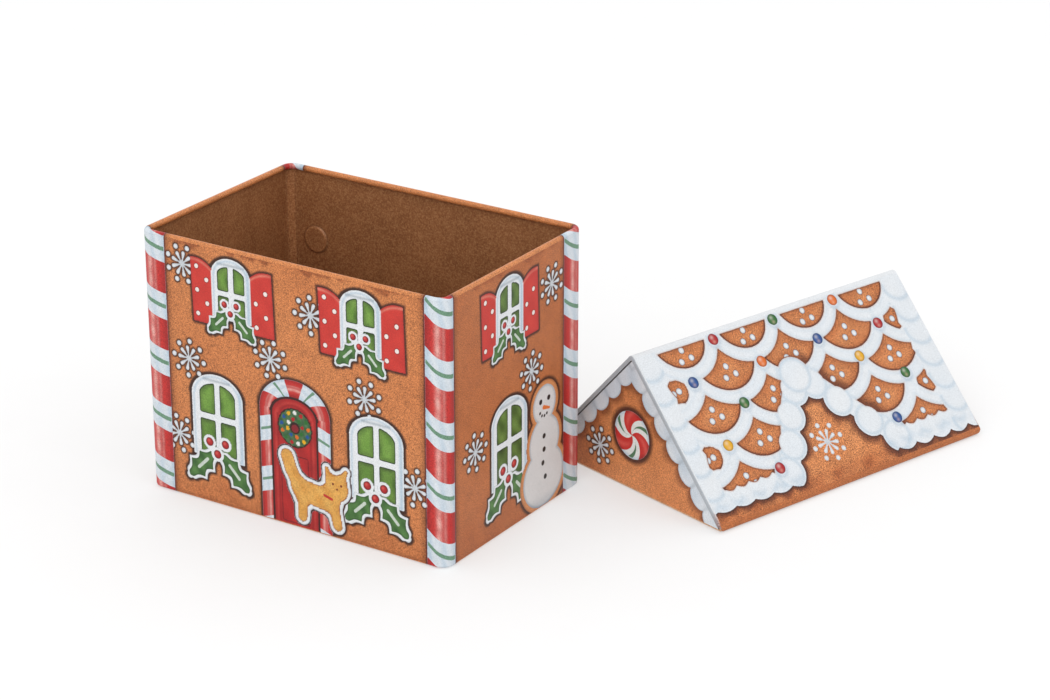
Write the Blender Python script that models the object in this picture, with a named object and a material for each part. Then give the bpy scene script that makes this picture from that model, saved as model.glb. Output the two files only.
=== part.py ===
"""Gingerbread-house cookie tin: an open tinplate box with its gable-roof lid set down beside it.

Two bodies stand on one table plane.  The box is a four-walled shell whose rim is curled inward, with a
stamped bottom pressed into it.  The lid is a bent roof sheet closed by two flanged gable panels.  Set on
the box, the lid's slopes seat on the long rims and its gables slip outside the short walls.

Everything is folded from sheet of one thickness, so most pieces are bend lists: a line or an arc at a
time, swept round the box or along the ridge.  Lengths are in metres, +Z is up, and the origin is the
centre of the box's underside.
"""

import math
from typing import Callable, NamedTuple

import bmesh
import bpy
from mathutils import Matrix, Vector

MM = 0.001

# Sheet
SHEET = 0.3 * MM                     # thickness of the lacquered tinplate
FIT_GAP = 0.3 * MM                   # clearance between two pieces that touch

# Box
BOX_LENGTH = 170.0 * MM              # along X, outside
BOX_WIDTH = 115.0 * MM               # along Y, outside
BOX_HEIGHT = 130.0 * MM
BOX_CORNER_RADIUS = 6.0 * MM         # outside, of the upright corners
RIM_CURL_DIAMETER = 2.9 * MM         # the rim, rolled inward
RIM_CURL_TURN = math.radians(290.0)
FOOT_BEND_RADIUS = 0.8 * MM          # outside, where the wall turns in under the box
FOOT_HEM_WIDTH = 4.0 * MM            # reach of the folded foot hem, from the outer face
HEM_RETURN = 2.6 * MM                # length of the hem's upper layer
SMALLEST_CORNER = 0.8 * MM           # corner radius kept where a ring lies deep inside the corner

# Lapped side seam, in the rear left corner
SEAM_START = math.radians(22.5)
SEAM_END = math.radians(67.5)
SEAM_STEP_ANGLE = math.radians(0.8)
SEAM_RELIEF = 0.35 * MM              # how far the lap stands inward
SEAM_END_CLEARANCE = 0.8 * MM        # between the lap's ends and the rim curl or the bottom's lip
SEAM_END_RAMP = 0.2 * MM

# Round boss pressed inward through the rear wall
BOSS_RADIUS = 7.0 * MM               # at its foot
BOSS_HEIGHT = 0.8 * MM
BOSS_DRAFT = 0.5                     # run of the boss's flank for each unit of height
BOSS_FROM_CORNER = 15.5 * MM         # from the left wall's outer face
BOSS_BELOW_RIM = 37.8 * MM

# Bottom panel
LIP_HEIGHT = 4.0 * MM                # of the lip turned up inside the wall
BOTTOM_BEND_RADIUS = 0.8 * MM
LEDGE_MARGIN = 0.5 * MM              # ledge beyond the foot hem, before it steps down
STEP_ANGLE = math.radians(45.0)

# Lid
EAVE_OVERHANG = 5.5 * MM             # beyond each long wall
END_CLEARANCE = 1.0 * MM             # between each short wall and the gable's flange
ROOF_HEIGHT = 68.5 * MM              # outside, from the table to the ridge
SKIRT_HEIGHT = 3.0 * MM              # upright strip under each eave fold
EAVE_BEND_RADIUS = 1.2 * MM
EAVE_HEM_WIDTH = 3.0 * MM
BAND_DEPTH = 2.2 * MM                # roof edge turned down over each gable
ROOF_EDGE_RADIUS = 0.8 * MM
ROOF_CORNER_RADIUS = 3.0 * MM        # of the roof sheet's four lower corners
BAND_START = 0.7                     # share of that corner's height below which its edge is left raw
RAW_EDGE_RADIUS = SHEET + 0.05 * MM
RAW_EDGE_DEPTH = SHEET + 0.08 * MM
FOLD_MARGIN = 0.2 * MM               # fold radius beyond the turned edge's depth
RIDGE_MARGIN = 0.4 * MM
GABLE_FLANGE = 1.9 * MM              # depth of the gable's flange behind its face
GABLE_BEND_RADIUS = 0.8 * MM
GABLE_CORNER_RADIUS = 1.2 * MM

# Where the lid lies: its gable faces the box's rear right corner
LID_YAW = math.radians(73.0)
LID_STANDOFF = 10.8 * MM             # from that corner to the gable end
LID_SIDE_SHIFT = 22.0 * MM           # of the lid's middle, across the ridge

ARC_STEP = math.radians(15.0)
CORNER_STEPS = 8
BOSS_SIDES = 48

LID_HALF_LENGTH = BOX_LENGTH / 2 + END_CLEARANCE + GABLE_FLANGE + FIT_GAP + SHEET
LID_HALF_WIDTH = BOX_WIDTH / 2 + EAVE_OVERHANG


class Station(NamedTuple):
    """A place on a bend list: a point in the section's plane and the unit normal on its left."""

    point: Vector
    normal: Vector


def bend_list(start: Vector, heading: float, moves: list[tuple[float, float]]) -> list[Station]:
    """Follow straight runs and arcs in a plane, as sheet is folded.

    Args:
        start: first point.
        heading: first direction, in radians from the first axis towards the second.
        moves: pairs (length, 0) for a run, or (radius, turn) for an arc, with a left turn positive.

    Returns:
        One station at each end of a run and one at each step along an arc.
    """
    point = start.copy()
    stations = [Station(point.copy(), left_of(heading))]
    for size, turn in moves:
        if turn == 0.0:
            point = point + direction(heading) * size
            stations.append(Station(point.copy(), left_of(heading)))
            continue
        side = math.copysign(1.0, turn)
        centre = point + left_of(heading) * size * side
        steps = max(2, math.ceil(abs(turn) / ARC_STEP))
        for step in range(1, steps + 1):
            angle = heading + turn * step / steps
            stations.append(Station(centre - left_of(angle) * size * side, left_of(angle)))
        heading += turn
        point = stations[-1].point.copy()
    return stations


def direction(angle: float) -> Vector:
    """Return the unit vector at an angle in the section's plane."""
    return Vector((math.cos(angle), math.sin(angle)))


def left_of(angle: float) -> Vector:
    """Return the unit vector a quarter turn to the left of an angle."""
    return Vector((-math.sin(angle), math.cos(angle)))


def ring_radius(inset: float) -> float:
    """Corner radius of the box's outline drawn in by an inset, never below the smallest corner."""
    return max(BOX_CORNER_RADIUS - inset, SMALLEST_CORNER)


def box_outline(angles: list[tuple[int, float]], inset: float) -> list[Vector]:
    """Points of the box's rounded outline drawn in by an inset.

    Args:
        angles: for each point, the corner's quadrant (0 to 3, from +X+Y) and its angle round that corner.
        inset: distance inside the outer face.
    """
    radius = ring_radius(inset)
    points = []
    for quadrant, angle in angles:
        side_x = 1.0 if quadrant in (0, 3) else -1.0
        side_y = 1.0 if quadrant in (0, 1) else -1.0
        centre = Vector((side_x * (BOX_LENGTH / 2 - inset - radius),
                         side_y * (BOX_WIDTH / 2 - inset - radius)))
        points.append(centre + direction(quadrant * math.pi / 2 + angle) * radius)
    return points


def corner_angles() -> list[tuple[int, float]]:
    """Quadrant and angle of each point round the box, anticlockwise from +X."""
    return [(quadrant, math.pi / 2 * step / CORNER_STEPS)
            for quadrant in range(4) for step in range(CORNER_STEPS + 1)]


def new_object(name: str, build: bmesh.types.BMesh, material: bpy.types.Material | None,
               parent: bpy.types.Object | None) -> bpy.types.Object:
    """Turn a bmesh into a named object with outward faces and softly shaded bends."""
    bmesh.ops.recalc_face_normals(build, faces=build.faces)
    mesh = bpy.data.meshes.new(name)
    build.to_mesh(mesh)
    build.free()
    mesh.shade_smooth()
    mesh.set_sharp_from_angle(angle=math.radians(35.0))
    if material is not None:
        mesh.materials.append(material)
    made = bpy.data.objects.new(name, mesh)
    made.parent = parent
    bpy.context.scene.collection.objects.link(made)
    return made


def skin_rings(rings: list[list[Vector]], closed_rings: bool, closed_stack: bool) -> bmesh.types.BMesh:
    """Join a stack of equal rings with quads, capping whatever is left open.

    Args:
        rings: rings of points, each with the same number of points.
        closed_rings: whether each ring's last point joins its first.
        closed_stack: whether the last ring joins the first; otherwise both end rings are filled.
    """
    build = bmesh.new()
    verts = [[build.verts.new(point) for point in ring] for ring in rings]
    ring_size = len(rings[0])
    stack = range(len(rings) if closed_stack else len(rings) - 1)
    around = range(ring_size if closed_rings else ring_size - 1)
    for row in stack:
        below = verts[row]
        above = verts[(row + 1) % len(rings)]
        for column in around:
            following = (column + 1) % ring_size
            build.faces.new((below[column], below[following], above[following], above[column]))
    if not closed_stack:
        build.faces.new(verts[0])
        build.faces.new(verts[-1])
    return build


def sheet_loop(stations: list[Station]) -> list[Vector]:
    """Closed outline of a sheet whose middle follows a bend list: its right face out, its left face back."""
    half = SHEET / 2
    right = [station.point - station.normal * half for station in stations]
    left = [station.point + station.normal * half for station in stations]
    return right + left[::-1]


def tin_material(name: str, colour: tuple[float, float, float], roughness: float,
                 metallic: float) -> bpy.types.Material:
    """Make a Principled material for printed or lacquered tinplate."""
    material = bpy.data.materials.new(name)
    material.use_nodes = True
    shader = material.node_tree.nodes["Principled BSDF"]
    shader.inputs["Base Color"].default_value = (*colour, 1.0)
    shader.inputs["Roughness"].default_value = roughness
    shader.inputs["Metallic"].default_value = metallic
    return material


def wall_section() -> list[Station]:
    """Bend list of the box's wall in (distance beyond the outer face, height), from the foot hem's tip.

    The foot hem is folded back on itself, the wall rises straight, and the rim is curled inward.
    """
    layer = SHEET + FIT_GAP
    fold_reach = layer / 2 + SHEET / 2
    tip = Vector((-FOOT_HEM_WIDTH + fold_reach + HEM_RETURN, SHEET / 2 + layer))
    foot_radius = FOOT_BEND_RADIUS - SHEET / 2
    curl_radius = RIM_CURL_DIAMETER / 2 - SHEET / 2
    foot_run = FOOT_HEM_WIDTH - fold_reach - FOOT_BEND_RADIUS
    wall_run = BOX_HEIGHT - FOOT_BEND_RADIUS - RIM_CURL_DIAMETER / 2
    return bend_list(tip, math.pi, [
        (HEM_RETURN, 0.0),
        (layer / 2, math.pi),
        (foot_run, 0.0),
        (foot_radius, math.pi / 2),
        (wall_run, 0.0),
        (curl_radius, RIM_CURL_TURN)])


def seam_heights() -> list[float]:
    """Heights where the side seam's lap begins and ends, each with the foot and the top of its ramp."""
    low = ledge_height() + LIP_HEIGHT + SEAM_END_CLEARANCE
    high = BOX_HEIGHT - RIM_CURL_DIAMETER - SEAM_END_CLEARANCE
    return [high, high - SEAM_END_RAMP, low + SEAM_END_RAMP, low]


def wall_loop(lap: float) -> list[Vector]:
    """Closed outline of the wall's section, with its inner face stood inward by a lap between its ends."""
    stations = wall_section()
    loop = sheet_loop(stations)
    straight_top = next(index for index in range(len(loop) - 1, 0, -1)
                        if abs(loop[index].x + SHEET) < 1e-7 and loop[index].y < BOX_HEIGHT / 2)
    high, high_full, low_full, low = seam_heights()
    raised = [Vector((-SHEET, high)), Vector((-SHEET - lap, high_full)),
              Vector((-SHEET - lap, low_full)), Vector((-SHEET, low))]
    return loop[:straight_top] + raised + loop[straight_top:]


def wall_stations() -> list[tuple[int, float, float]]:
    """Quadrant, angle and lap height of each place round the wall, with the seam's two edges doubled."""
    places = []
    for quadrant, angle in corner_angles():
        turned = math.pi / 2 - angle
        on_seam_corner = quadrant == 1
        if on_seam_corner and abs(turned - SEAM_END) < 1e-6:
            places += [(quadrant, angle, 0.0), (quadrant, angle + SEAM_STEP_ANGLE, SEAM_RELIEF)]
        elif on_seam_corner and abs(turned - SEAM_START) < 1e-6:
            places += [(quadrant, angle, SEAM_RELIEF), (quadrant, angle + SEAM_STEP_ANGLE, 0.0)]
        elif on_seam_corner and SEAM_START < turned < SEAM_END:
            places.append((quadrant, angle, SEAM_RELIEF))
        else:
            places.append((quadrant, angle, 0.0))
    return places


def boss_tool(name: str, depth_from: float, depth_to: float, radius_from: float,
              radius_to: float) -> bpy.types.Object:
    """Hidden frustum on the boss's axis, between two depths inside the rear wall's outer face."""
    build = bmesh.new()
    length = depth_to - depth_from
    bmesh.ops.create_cone(build, cap_ends=True, segments=BOSS_SIDES, radius1=radius_from,
                          radius2=radius_to, depth=length)
    centre = Vector((-BOX_LENGTH / 2 + BOSS_FROM_CORNER,
                     BOX_WIDTH / 2 - (depth_from + depth_to) / 2,
                     BOX_HEIGHT - BOSS_BELOW_RIM))
    placing = Matrix.Translation(centre) @ Matrix.Rotation(math.radians(90.0), 4, "X")
    bmesh.ops.transform(build, matrix=placing, verts=build.verts)
    tool = new_object(name, build, None, None)
    tool.hide_render = True
    tool.display_type = "WIRE"
    return tool


def add_boolean(target: bpy.types.Object, tool: bpy.types.Object, operation: str) -> None:
    """Add an exact Boolean modifier."""
    modifier = target.modifiers.new(tool.name, "BOOLEAN")
    modifier.operation = operation
    modifier.object = tool


def make_body_wall(parent: bpy.types.Object) -> None:
    """Box wall: four sides of one sheet, foot hem, curled rim, lapped side seam and pressed boss."""
    loops = {lap: wall_loop(lap) for lap in (0.0, SEAM_RELIEF)}
    rings = []
    for quadrant, angle, lap in wall_stations():
        ring = []
        for section in loops[lap]:
            place = box_outline([(quadrant, angle)], -section.x)[0]
            ring.append(Vector((place.x, place.y, section.y)))
        rings.append(ring)
    material = tin_material("gingerbread_print", (0.55, 0.26, 0.12), 0.38, 0.0)
    wall = new_object("body_wall", skin_rings(rings, True, True), material, parent)

    foot = SHEET / 2
    pad_top = SHEET + BOSS_HEIGHT
    pad_radius = BOSS_RADIUS - BOSS_DRAFT * BOSS_HEIGHT
    pad = boss_tool("boss_pad_tool", foot, pad_top, BOSS_RADIUS + BOSS_DRAFT * foot, pad_radius)
    recess_mouth = BOSS_RADIUS + BOSS_DRAFT * SHEET - SHEET
    outside = 1.0 * MM
    recess = boss_tool("boss_recess_tool", -outside, BOSS_HEIGHT, recess_mouth + BOSS_DRAFT * outside,
                       recess_mouth - BOSS_DRAFT * BOSS_HEIGHT)
    add_boolean(wall, pad, "UNION")
    add_boolean(wall, recess, "DIFFERENCE")


def ledge_height() -> float:
    """Height of the underside of the bottom's ledge, which rests on the two layers of the foot hem."""
    return 2 * SHEET + FIT_GAP + FIT_GAP


def make_bottom_panel(parent: bpy.types.Object) -> None:
    """Bottom: lip inside the wall, ledge on the foot hem, and a field stamped down to the table."""
    lip_face = SHEET + FIT_GAP + SHEET / 2
    ledge = ledge_height() + SHEET / 2
    radius = BOTTOM_BEND_RADIUS - SHEET / 2
    ledge_run = FOOT_HEM_WIDTH + LEDGE_MARGIN - lip_face - radius
    drop = ledge - SHEET / 2
    slope_run = (drop - 2 * radius * (1 - math.cos(STEP_ANGLE))) / math.sin(STEP_ANGLE)
    stations = bend_list(Vector((-lip_face, ledge + LIP_HEIGHT)), -math.pi / 2, [
        (LIP_HEIGHT - radius, 0.0),
        (radius, -math.pi / 2),
        (ledge_run, 0.0),
        (radius, STEP_ANGLE),
        (slope_run, 0.0),
        (radius, -STEP_ANGLE)])
    half = SHEET / 2
    under = [station.point + station.normal * half for station in stations]
    above = [station.point - station.normal * half for station in stations]
    angles = corner_angles()
    rings = []
    for section in under[::-1] + above:
        rings.append([Vector((place.x, place.y, section.y)) for place in box_outline(angles, -section.x)])
    material = tin_material("bottom_lacquer", (0.24, 0.12, 0.05), 0.45, 0.1)
    new_object("bottom_panel", skin_rings(rings, True, False), material, parent)


def roof_pitch() -> float:
    """Angle of the slopes, so that the rounded ridge ends up at the roof's height.

    The pitch solves: rise of the sharp apex, less the part that the ridge radius rounds off, is the
    roof's height.
    """
    ridge = ridge_radius()
    pitch = math.atan2(ROOF_HEIGHT - SKIRT_HEIGHT, LID_HALF_WIDTH)
    for _ in range(40):
        rounded_off = ridge * (1 / math.cos(pitch) - 1)
        pitch = math.atan2(ROOF_HEIGHT + rounded_off - SKIRT_HEIGHT, LID_HALF_WIDTH)
    return pitch


def ridge_radius() -> float:
    """Outside bend radius at the ridge, which leaves room for the turned-down edge inside it."""
    return BAND_DEPTH + RIDGE_MARGIN


def chevron(inset: float, corner: float, hem: float) -> list[Station]:
    """Bend list of the roof's section, anticlockwise from the right eave's hem, drawn in by an inset.

    Args:
        inset: distance inside the roof's outer face; the fold and ridge radii shrink with it.
        corner: bend radius at the foot of each skirt.
        hem: length of the flat run from the hem's tip to that bend's outer corner.
    """
    pitch = roof_pitch()
    fold = BAND_DEPTH + FOLD_MARGIN - inset
    ridge = ridge_radius() - inset
    half_width = LID_HALF_WIDTH - inset
    fold_turn = math.pi / 2 - pitch
    fold_tangent = fold * math.tan(fold_turn / 2)
    ridge_tangent = ridge * math.tan(pitch)
    fold_height = SKIRT_HEIGHT - inset * math.tan(fold_turn / 2)
    slope = half_width / math.cos(pitch)
    hem_run = (hem - corner, 0.0)
    foot = (corner, math.pi / 2)
    skirt = (fold_height - corner - fold_tangent, 0.0)
    eave = (fold, fold_turn)
    flank = (slope - fold_tangent - ridge_tangent, 0.0)
    moves = [hem_run, foot, skirt, eave, flank, (ridge, 2 * pitch), flank, eave, skirt, foot, hem_run]
    return bend_list(Vector((half_width - hem, 0.0)), 0.0, moves)


def roof_edge(half_length: float, outer: float, depth: float) -> list[Vector]:
    """Half of the roof sheet's cross-channel in (along the ridge, depth), from its inner face to its outer.

    Args:
        half_length: from the middle of the ridge to the turned-down edge's outer face.
        outer: outside radius of the edge's bend.
        depth: how far the edge is turned down.
    """
    inner = outer - SHEET
    centre = Vector((half_length - outer, outer))
    steps = 4
    arc = [math.pi / 2 * step / steps for step in range(steps + 1)]
    inside = [centre + Vector((math.sin(angle), -math.cos(angle))) * inner for angle in arc]
    outside = [centre + Vector((math.sin(angle), -math.cos(angle))) * outer for angle in reversed(arc)]
    return inside + [Vector((half_length - SHEET, depth)), Vector((half_length, depth))] + outside


def make_roof_sheet(parent: bpy.types.Object) -> None:
    """Roof: one sheet bent at the ridge and the eaves, hemmed under, its ends turned down as bands."""
    rings = []
    for point, inward in chevron(0.0, EAVE_BEND_RADIUS, EAVE_HEM_WIDTH):
        height = point.y
        lifted = max(0.0, min(height / ROOF_CORNER_RADIUS, 1.0))
        cut_back = ROOF_CORNER_RADIUS * (1.0 - math.sqrt(1.0 - (1.0 - lifted) ** 2))
        turned = max(0.0, (lifted - BAND_START) / (1.0 - BAND_START))
        radius = RAW_EDGE_RADIUS + (ROOF_EDGE_RADIUS - RAW_EDGE_RADIUS) * turned
        depth = RAW_EDGE_DEPTH + (BAND_DEPTH - RAW_EDGE_DEPTH) * turned
        half = roof_edge(LID_HALF_LENGTH - cut_back, radius, depth)
        section = half + [Vector((-edge.x, edge.y)) for edge in reversed(half)]
        rings.append([Vector((edge.x, point.x + inward.x * edge.y, point.y + inward.y * edge.y))
                      for edge in section])
    material = tin_material("icing_print", (0.86, 0.88, 0.90), 0.34, 0.0)
    new_object("roof_sheet", skin_rings(rings, True, False), material, parent)


def offset_loop(points: list[Vector], distance: float) -> list[Vector]:
    """Draw a convex anticlockwise outline in by a distance, mitring its corners."""
    moved = []
    count = len(points)
    for index, point in enumerate(points):
        before = (point - points[index - 1]).normalized()
        after = (points[(index + 1) % count] - point).normalized()
        normal_before = Vector((-before.y, before.x))
        normal_after = Vector((-after.y, after.x))
        mitre = (normal_before + normal_after).normalized()
        moved.append(point + mitre * (distance / mitre.dot(normal_after)))
    return moved


def make_gable_panel(name: str, end: float, parent: bpy.types.Object) -> None:
    """Gable: a triangular face inside the roof's turned edge, with a flange bent in all round it.

    Args:
        name: the piece's name.
        end: +1 or -1, the end of the ridge that it closes.
        parent: the lid's empty.
    """
    inset = SHEET + FIT_GAP
    half_base = LID_HALF_WIDTH - inset
    outline = [station.point for station in chevron(inset, GABLE_CORNER_RADIUS, half_base)][:-1]
    face = LID_HALF_LENGTH - SHEET - FIT_GAP
    outer = GABLE_BEND_RADIUS
    inner = GABLE_BEND_RADIUS - SHEET
    steps = 4
    arc = [math.pi / 2 * step / steps for step in range(steps + 1)]
    bends = [(outer - outer * math.sin(angle), outer - outer * math.cos(angle)) for angle in arc]
    bends += [(0.0, GABLE_FLANGE), (SHEET, GABLE_FLANGE)]
    bends += [(outer - inner * math.sin(angle), outer - inner * math.cos(angle)) for angle in reversed(arc)]
    rings = []
    for drawn_in, behind in bends:
        loop = offset_loop(outline, drawn_in)
        rings.append([Vector((end * (face - behind), place.x, place.y)) for place in loop])
    material = tin_material(name + "_print", (0.56, 0.27, 0.12), 0.38, 0.0)
    new_object(name, skin_rings(rings, True, False), material, parent)


def add_empty(name: str, location: Vector, yaw: float) -> bpy.types.Object:
    """Add the empty that carries one body."""
    empty = bpy.data.objects.new(name, None)
    empty.location = location
    empty.rotation_euler = (0.0, 0.0, yaw)
    bpy.context.scene.collection.objects.link(empty)
    return empty


def lid_rest_place() -> Vector:
    """Where the middle of the lid lies on the table, measured from the box's rear right corner."""
    along = direction(LID_YAW)
    across = left_of(LID_YAW)
    corner = Vector((BOX_LENGTH / 2, BOX_WIDTH / 2))
    place = corner + along * (LID_HALF_LENGTH + LID_STANDOFF) - across * LID_SIDE_SHIFT
    return Vector((place.x, place.y, 0.0))


def build_model(makers: list[Callable[[bpy.types.Object], None]], carrier: bpy.types.Object) -> None:
    """Make each piece of one body under its empty."""
    for make in makers:
        make(carrier)


def main() -> None:
    """Clear the scene and build the tin."""
    for old in list(bpy.data.objects):
        bpy.data.objects.remove(old, do_unlink=True)
    box = add_empty("box_body", Vector((0.0, 0.0, 0.0)), 0.0)
    lid = add_empty("lid_body", lid_rest_place(), LID_YAW)
    build_model([make_body_wall, make_bottom_panel], box)
    build_model([make_roof_sheet], lid)
    make_gable_panel("gable_panel_near", -1.0, lid)
    make_gable_panel("gable_panel_far", 1.0, lid)


main()
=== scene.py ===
"""Looks of the gingerbread-house cookie tin: printed walls, lacquered inside, iced roof and gables.

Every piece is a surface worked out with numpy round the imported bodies.  The artwork is laid out in
millimetres on artboards: each shape is a signed distance, kept at the vertices of a fine grid, and the
print material turns those distances into ink with clean edges.
"""
import logging
import math
from dataclasses import dataclass
from enum import Enum, IntEnum

import bpy
import numpy as np
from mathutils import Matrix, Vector


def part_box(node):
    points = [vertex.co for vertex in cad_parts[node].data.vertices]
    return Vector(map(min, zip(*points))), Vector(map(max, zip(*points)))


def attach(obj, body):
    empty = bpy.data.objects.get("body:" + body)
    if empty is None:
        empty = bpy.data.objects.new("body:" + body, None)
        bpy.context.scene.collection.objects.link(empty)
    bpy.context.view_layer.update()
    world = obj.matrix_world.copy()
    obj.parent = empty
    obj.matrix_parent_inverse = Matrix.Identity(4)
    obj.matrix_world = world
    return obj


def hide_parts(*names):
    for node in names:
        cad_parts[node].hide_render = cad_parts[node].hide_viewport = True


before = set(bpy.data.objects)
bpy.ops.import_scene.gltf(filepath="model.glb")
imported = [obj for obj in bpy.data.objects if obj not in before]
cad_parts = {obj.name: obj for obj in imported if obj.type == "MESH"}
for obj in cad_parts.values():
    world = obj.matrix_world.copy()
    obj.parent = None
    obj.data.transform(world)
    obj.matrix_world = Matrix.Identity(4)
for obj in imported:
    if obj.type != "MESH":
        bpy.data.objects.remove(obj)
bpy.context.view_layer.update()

LOG = logging.getLogger("cookie_tin")
MM = 0.001
FAR = 60.0                              # mm, distance held where no shape is near
Array = np.ndarray
Faces = list[list[int]]
Spot = tuple[float, float]              # a place on an artboard or in a profile's plane, in millimetres
Span = tuple[float, float]              # a low and a high value
Point = tuple[float, float, float]      # a place in the shared frame, in metres
Steps = tuple[int, int, int]            # a colour as 0 to 255 steps
Ink = Steps | Array                     # such a colour, or one linear colour per place

# Inks of the print
GINGERBREAD = (206, 127, 74)
GINGERBREAD_PALE = (220, 146, 92)
GINGERBREAD_DARK = (168, 88, 44)
CRUST = (104, 50, 28)
OUTLINE = (52, 28, 20)
ICING = (234, 237, 240)
ICING_SHADE = (184, 204, 220)
ICING_GREY = (138, 152, 164)
CANE_RED = (203, 52, 48)
CANE_RED_DARK = (150, 34, 34)
CANE_GREEN = (112, 150, 124)
SHUTTER_RED = (216, 64, 54)
PANE = (104, 148, 56)
PANE_DARK = (34, 56, 24)
# painted shade: a darker pane ink for the short sides, standing in for the shade on them
PANE_SHADY = (66, 94, 34)
LEAF = (54, 94, 46)
LEAF_PALE = (92, 136, 72)
BERRY = (176, 36, 38)
DOOR_RED = (190, 42, 40)
COOKIE_GOLD = (214, 148, 64)
CANDIES = {"red": (180, 28, 34), "green": (46, 110, 46), "orange": (228, 112, 34),
           "blue": (32, 82, 150), "yellow": (234, 174, 24)}


class Layer(IntEnum):
    """Order of the ink layers over the base colour, lowest first."""

    SHAPE = 0
    DETAIL = 1
    ACCENT = 2
    TOP = 3


class Side(Enum):
    """The box's four sides, each with its quarter turns from the front."""

    FRONT = 0
    RIGHT = 1
    REAR = 2
    LEFT = 3


# ---------------------------------------------------------------------------------------------------
# Distances and colour
# ---------------------------------------------------------------------------------------------------

def linear(ink: Ink) -> Array:
    """Turn display steps into linear colour by the usual power curve; arrays pass through.

    Args:
        ink: steps from 0 to 255, or a linear colour per place.

    Returns:
        The linear colour.
    """
    if isinstance(ink, np.ndarray):
        return ink
    steps = np.asarray(ink, dtype=np.float32) / 255.0
    return np.where(steps <= 0.04045, steps / 12.92, ((steps + 0.055) / 1.055) ** 2.4).astype(np.float32)


def opaque(ink: Ink) -> tuple[float, ...]:
    """One linear colour with full alpha, for a socket."""
    return (*linear(ink), 1.0)


def blend(under: Ink, over: Ink, share: Array) -> Array:
    """Mix two inks by a share per place."""
    weight = np.clip(share, 0.0, 1.0)[:, None]
    return linear(under) * (1.0 - weight) + linear(over) * weight


def ease(low: float, high: float, value: Array) -> Array:
    """Smooth step: 0 below low, 1 above high, with a cubic between them."""
    part = np.clip((value - low) / (high - low), 0.0, 1.0)
    return part * part * (3.0 - 2.0 * part)


def bump_at(value: Array, centre: float, width: float) -> Array:
    """Bell curve exp(-((value - centre) / width)^2)."""
    return np.exp(-((value - centre) / width) ** 2)


def disc(u: Array, v: Array, centre: Spot, radius: float) -> Array:
    """Distance to a disc: length from its centre less its radius."""
    return np.hypot(u - centre[0], v - centre[1]) - radius


def stroke(u: Array, v: Array, start: Spot, end: Spot, radius: float,
           end_radius: float | None = None) -> Array:
    """Distance to a round-ended stroke whose radius runs evenly from its start to its end.

    Args:
        u, v: the places, across and up.
        start: where it begins.
        end: where it ends.
        radius: its radius at the start.
        end_radius: its radius at the end, the same if left out.

    Returns:
        Signed distance in millimetres, negative inside.
    """
    along = np.array(end) - np.array(start)
    part = ((u - start[0]) * along[0] + (v - start[1]) * along[1]) / float(along @ along)
    part = np.clip(part, 0.0, 1.0)
    grown = radius + ((end_radius if end_radius is not None else radius) - radius) * part
    return np.hypot(u - start[0] - along[0] * part, v - start[1] - along[1] * part) - grown


def path(u: Array, v: Array, points: list[Spot], radius: float) -> Array:
    """Distance to a chain of round-ended strokes."""
    return np.minimum.reduce([stroke(u, v, a, b, radius) for a, b in zip(points, points[1:])])


def slab(u: Array, v: Array, low: Spot, high: Spot,
         corner: float = 0.0) -> Array:
    """Distance to an upright rectangle with rounded corners, from how far a place lies past each side.

    Args:
        u, v: the places, across and up.
        low: its lower left corner.
        high: its upper right corner.
        corner: the radius of its corners.

    Returns:
        Signed distance in millimetres.
    """
    past_u = np.abs(u - (low[0] + high[0]) / 2) - (high[0] - low[0]) / 2 + corner
    past_v = np.abs(v - (low[1] + high[1]) / 2) - (high[1] - low[1]) / 2 + corner
    outside = np.hypot(np.maximum(past_u, 0.0), np.maximum(past_v, 0.0))
    return outside + np.minimum(np.maximum(past_u, past_v), 0.0) - corner


def polygon(u: Array, v: Array, points: list[Spot]) -> Array:
    """Signed distance to a polygon: nearest edge, negative where an odd number of edges is crossed.

    Args:
        u, v: the places, across and up.
        points: its corners in order.

    Returns:
        Signed distance in millimetres.
    """
    nearest = np.full(u.shape, FAR, dtype=np.float32)
    inside = np.zeros(u.shape, dtype=bool)
    for (au, av), (bu, bv) in zip(points, points[1:] + points[:1]):
        nearest = np.minimum(nearest, stroke(u, v, (au, av), (bu, bv), 0.0))
        spans = (av > v) != (bv > v)
        crossing = au + (v - av) * (bu - au) / (bv - av if bv != av else 1.0)
        inside ^= spans & (u < crossing)
    return np.where(inside, -nearest, nearest)


def arch(u: Array, v: Array, centre: float, half_width: float, bottom: float, spring: float,
         top: float) -> Array:
    """Distance to an arched opening: upright sides below the spring, half an ellipse above it.

    Args:
        u, v: the places, across and up.
        centre: where its middle line stands.
        half_width: from there to a side.
        bottom: height of its foot.
        spring: height where the sides begin to bend.
        top: height of its crown.

    Returns:
        Signed distance, true along the sides and near enough round the crown.
    """
    rise = top - spring
    sides = np.abs(u - centre) - half_width
    crown = (np.hypot((u - centre) / half_width, (v - spring) / rise) - 1.0) * min(rise, half_width)
    return np.maximum(np.where(v > spring, crown, sides), bottom - v)


def rosette(u: Array, v: Array, centre: Spot, count: int, turn: float) -> tuple[Array, Array]:
    """Fold a plane round a centre into one of several equal sectors.

    Args:
        u, v: the places, across and up.
        centre: the plane's middle.
        count: the number of sectors.
        turn: angle of the first one, in radians.

    Returns:
        Distance outward along the sector's middle, and the distance across it.
    """
    angle = np.arctan2(v - centre[1], u - centre[0]) - turn
    sector = 2 * math.pi / count
    folded = angle - sector * np.round(angle / sector)
    reach = np.hypot(u - centre[0], v - centre[1])
    return reach * np.cos(folded), reach * np.sin(folded)


def wave(value: Array, pitch: float, turn: float = 0.0) -> Array:
    """Scallop |sin| with sharp cusps every pitch and a height of 1."""
    return np.abs(np.sin(math.pi * (value / pitch + turn)))


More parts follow.
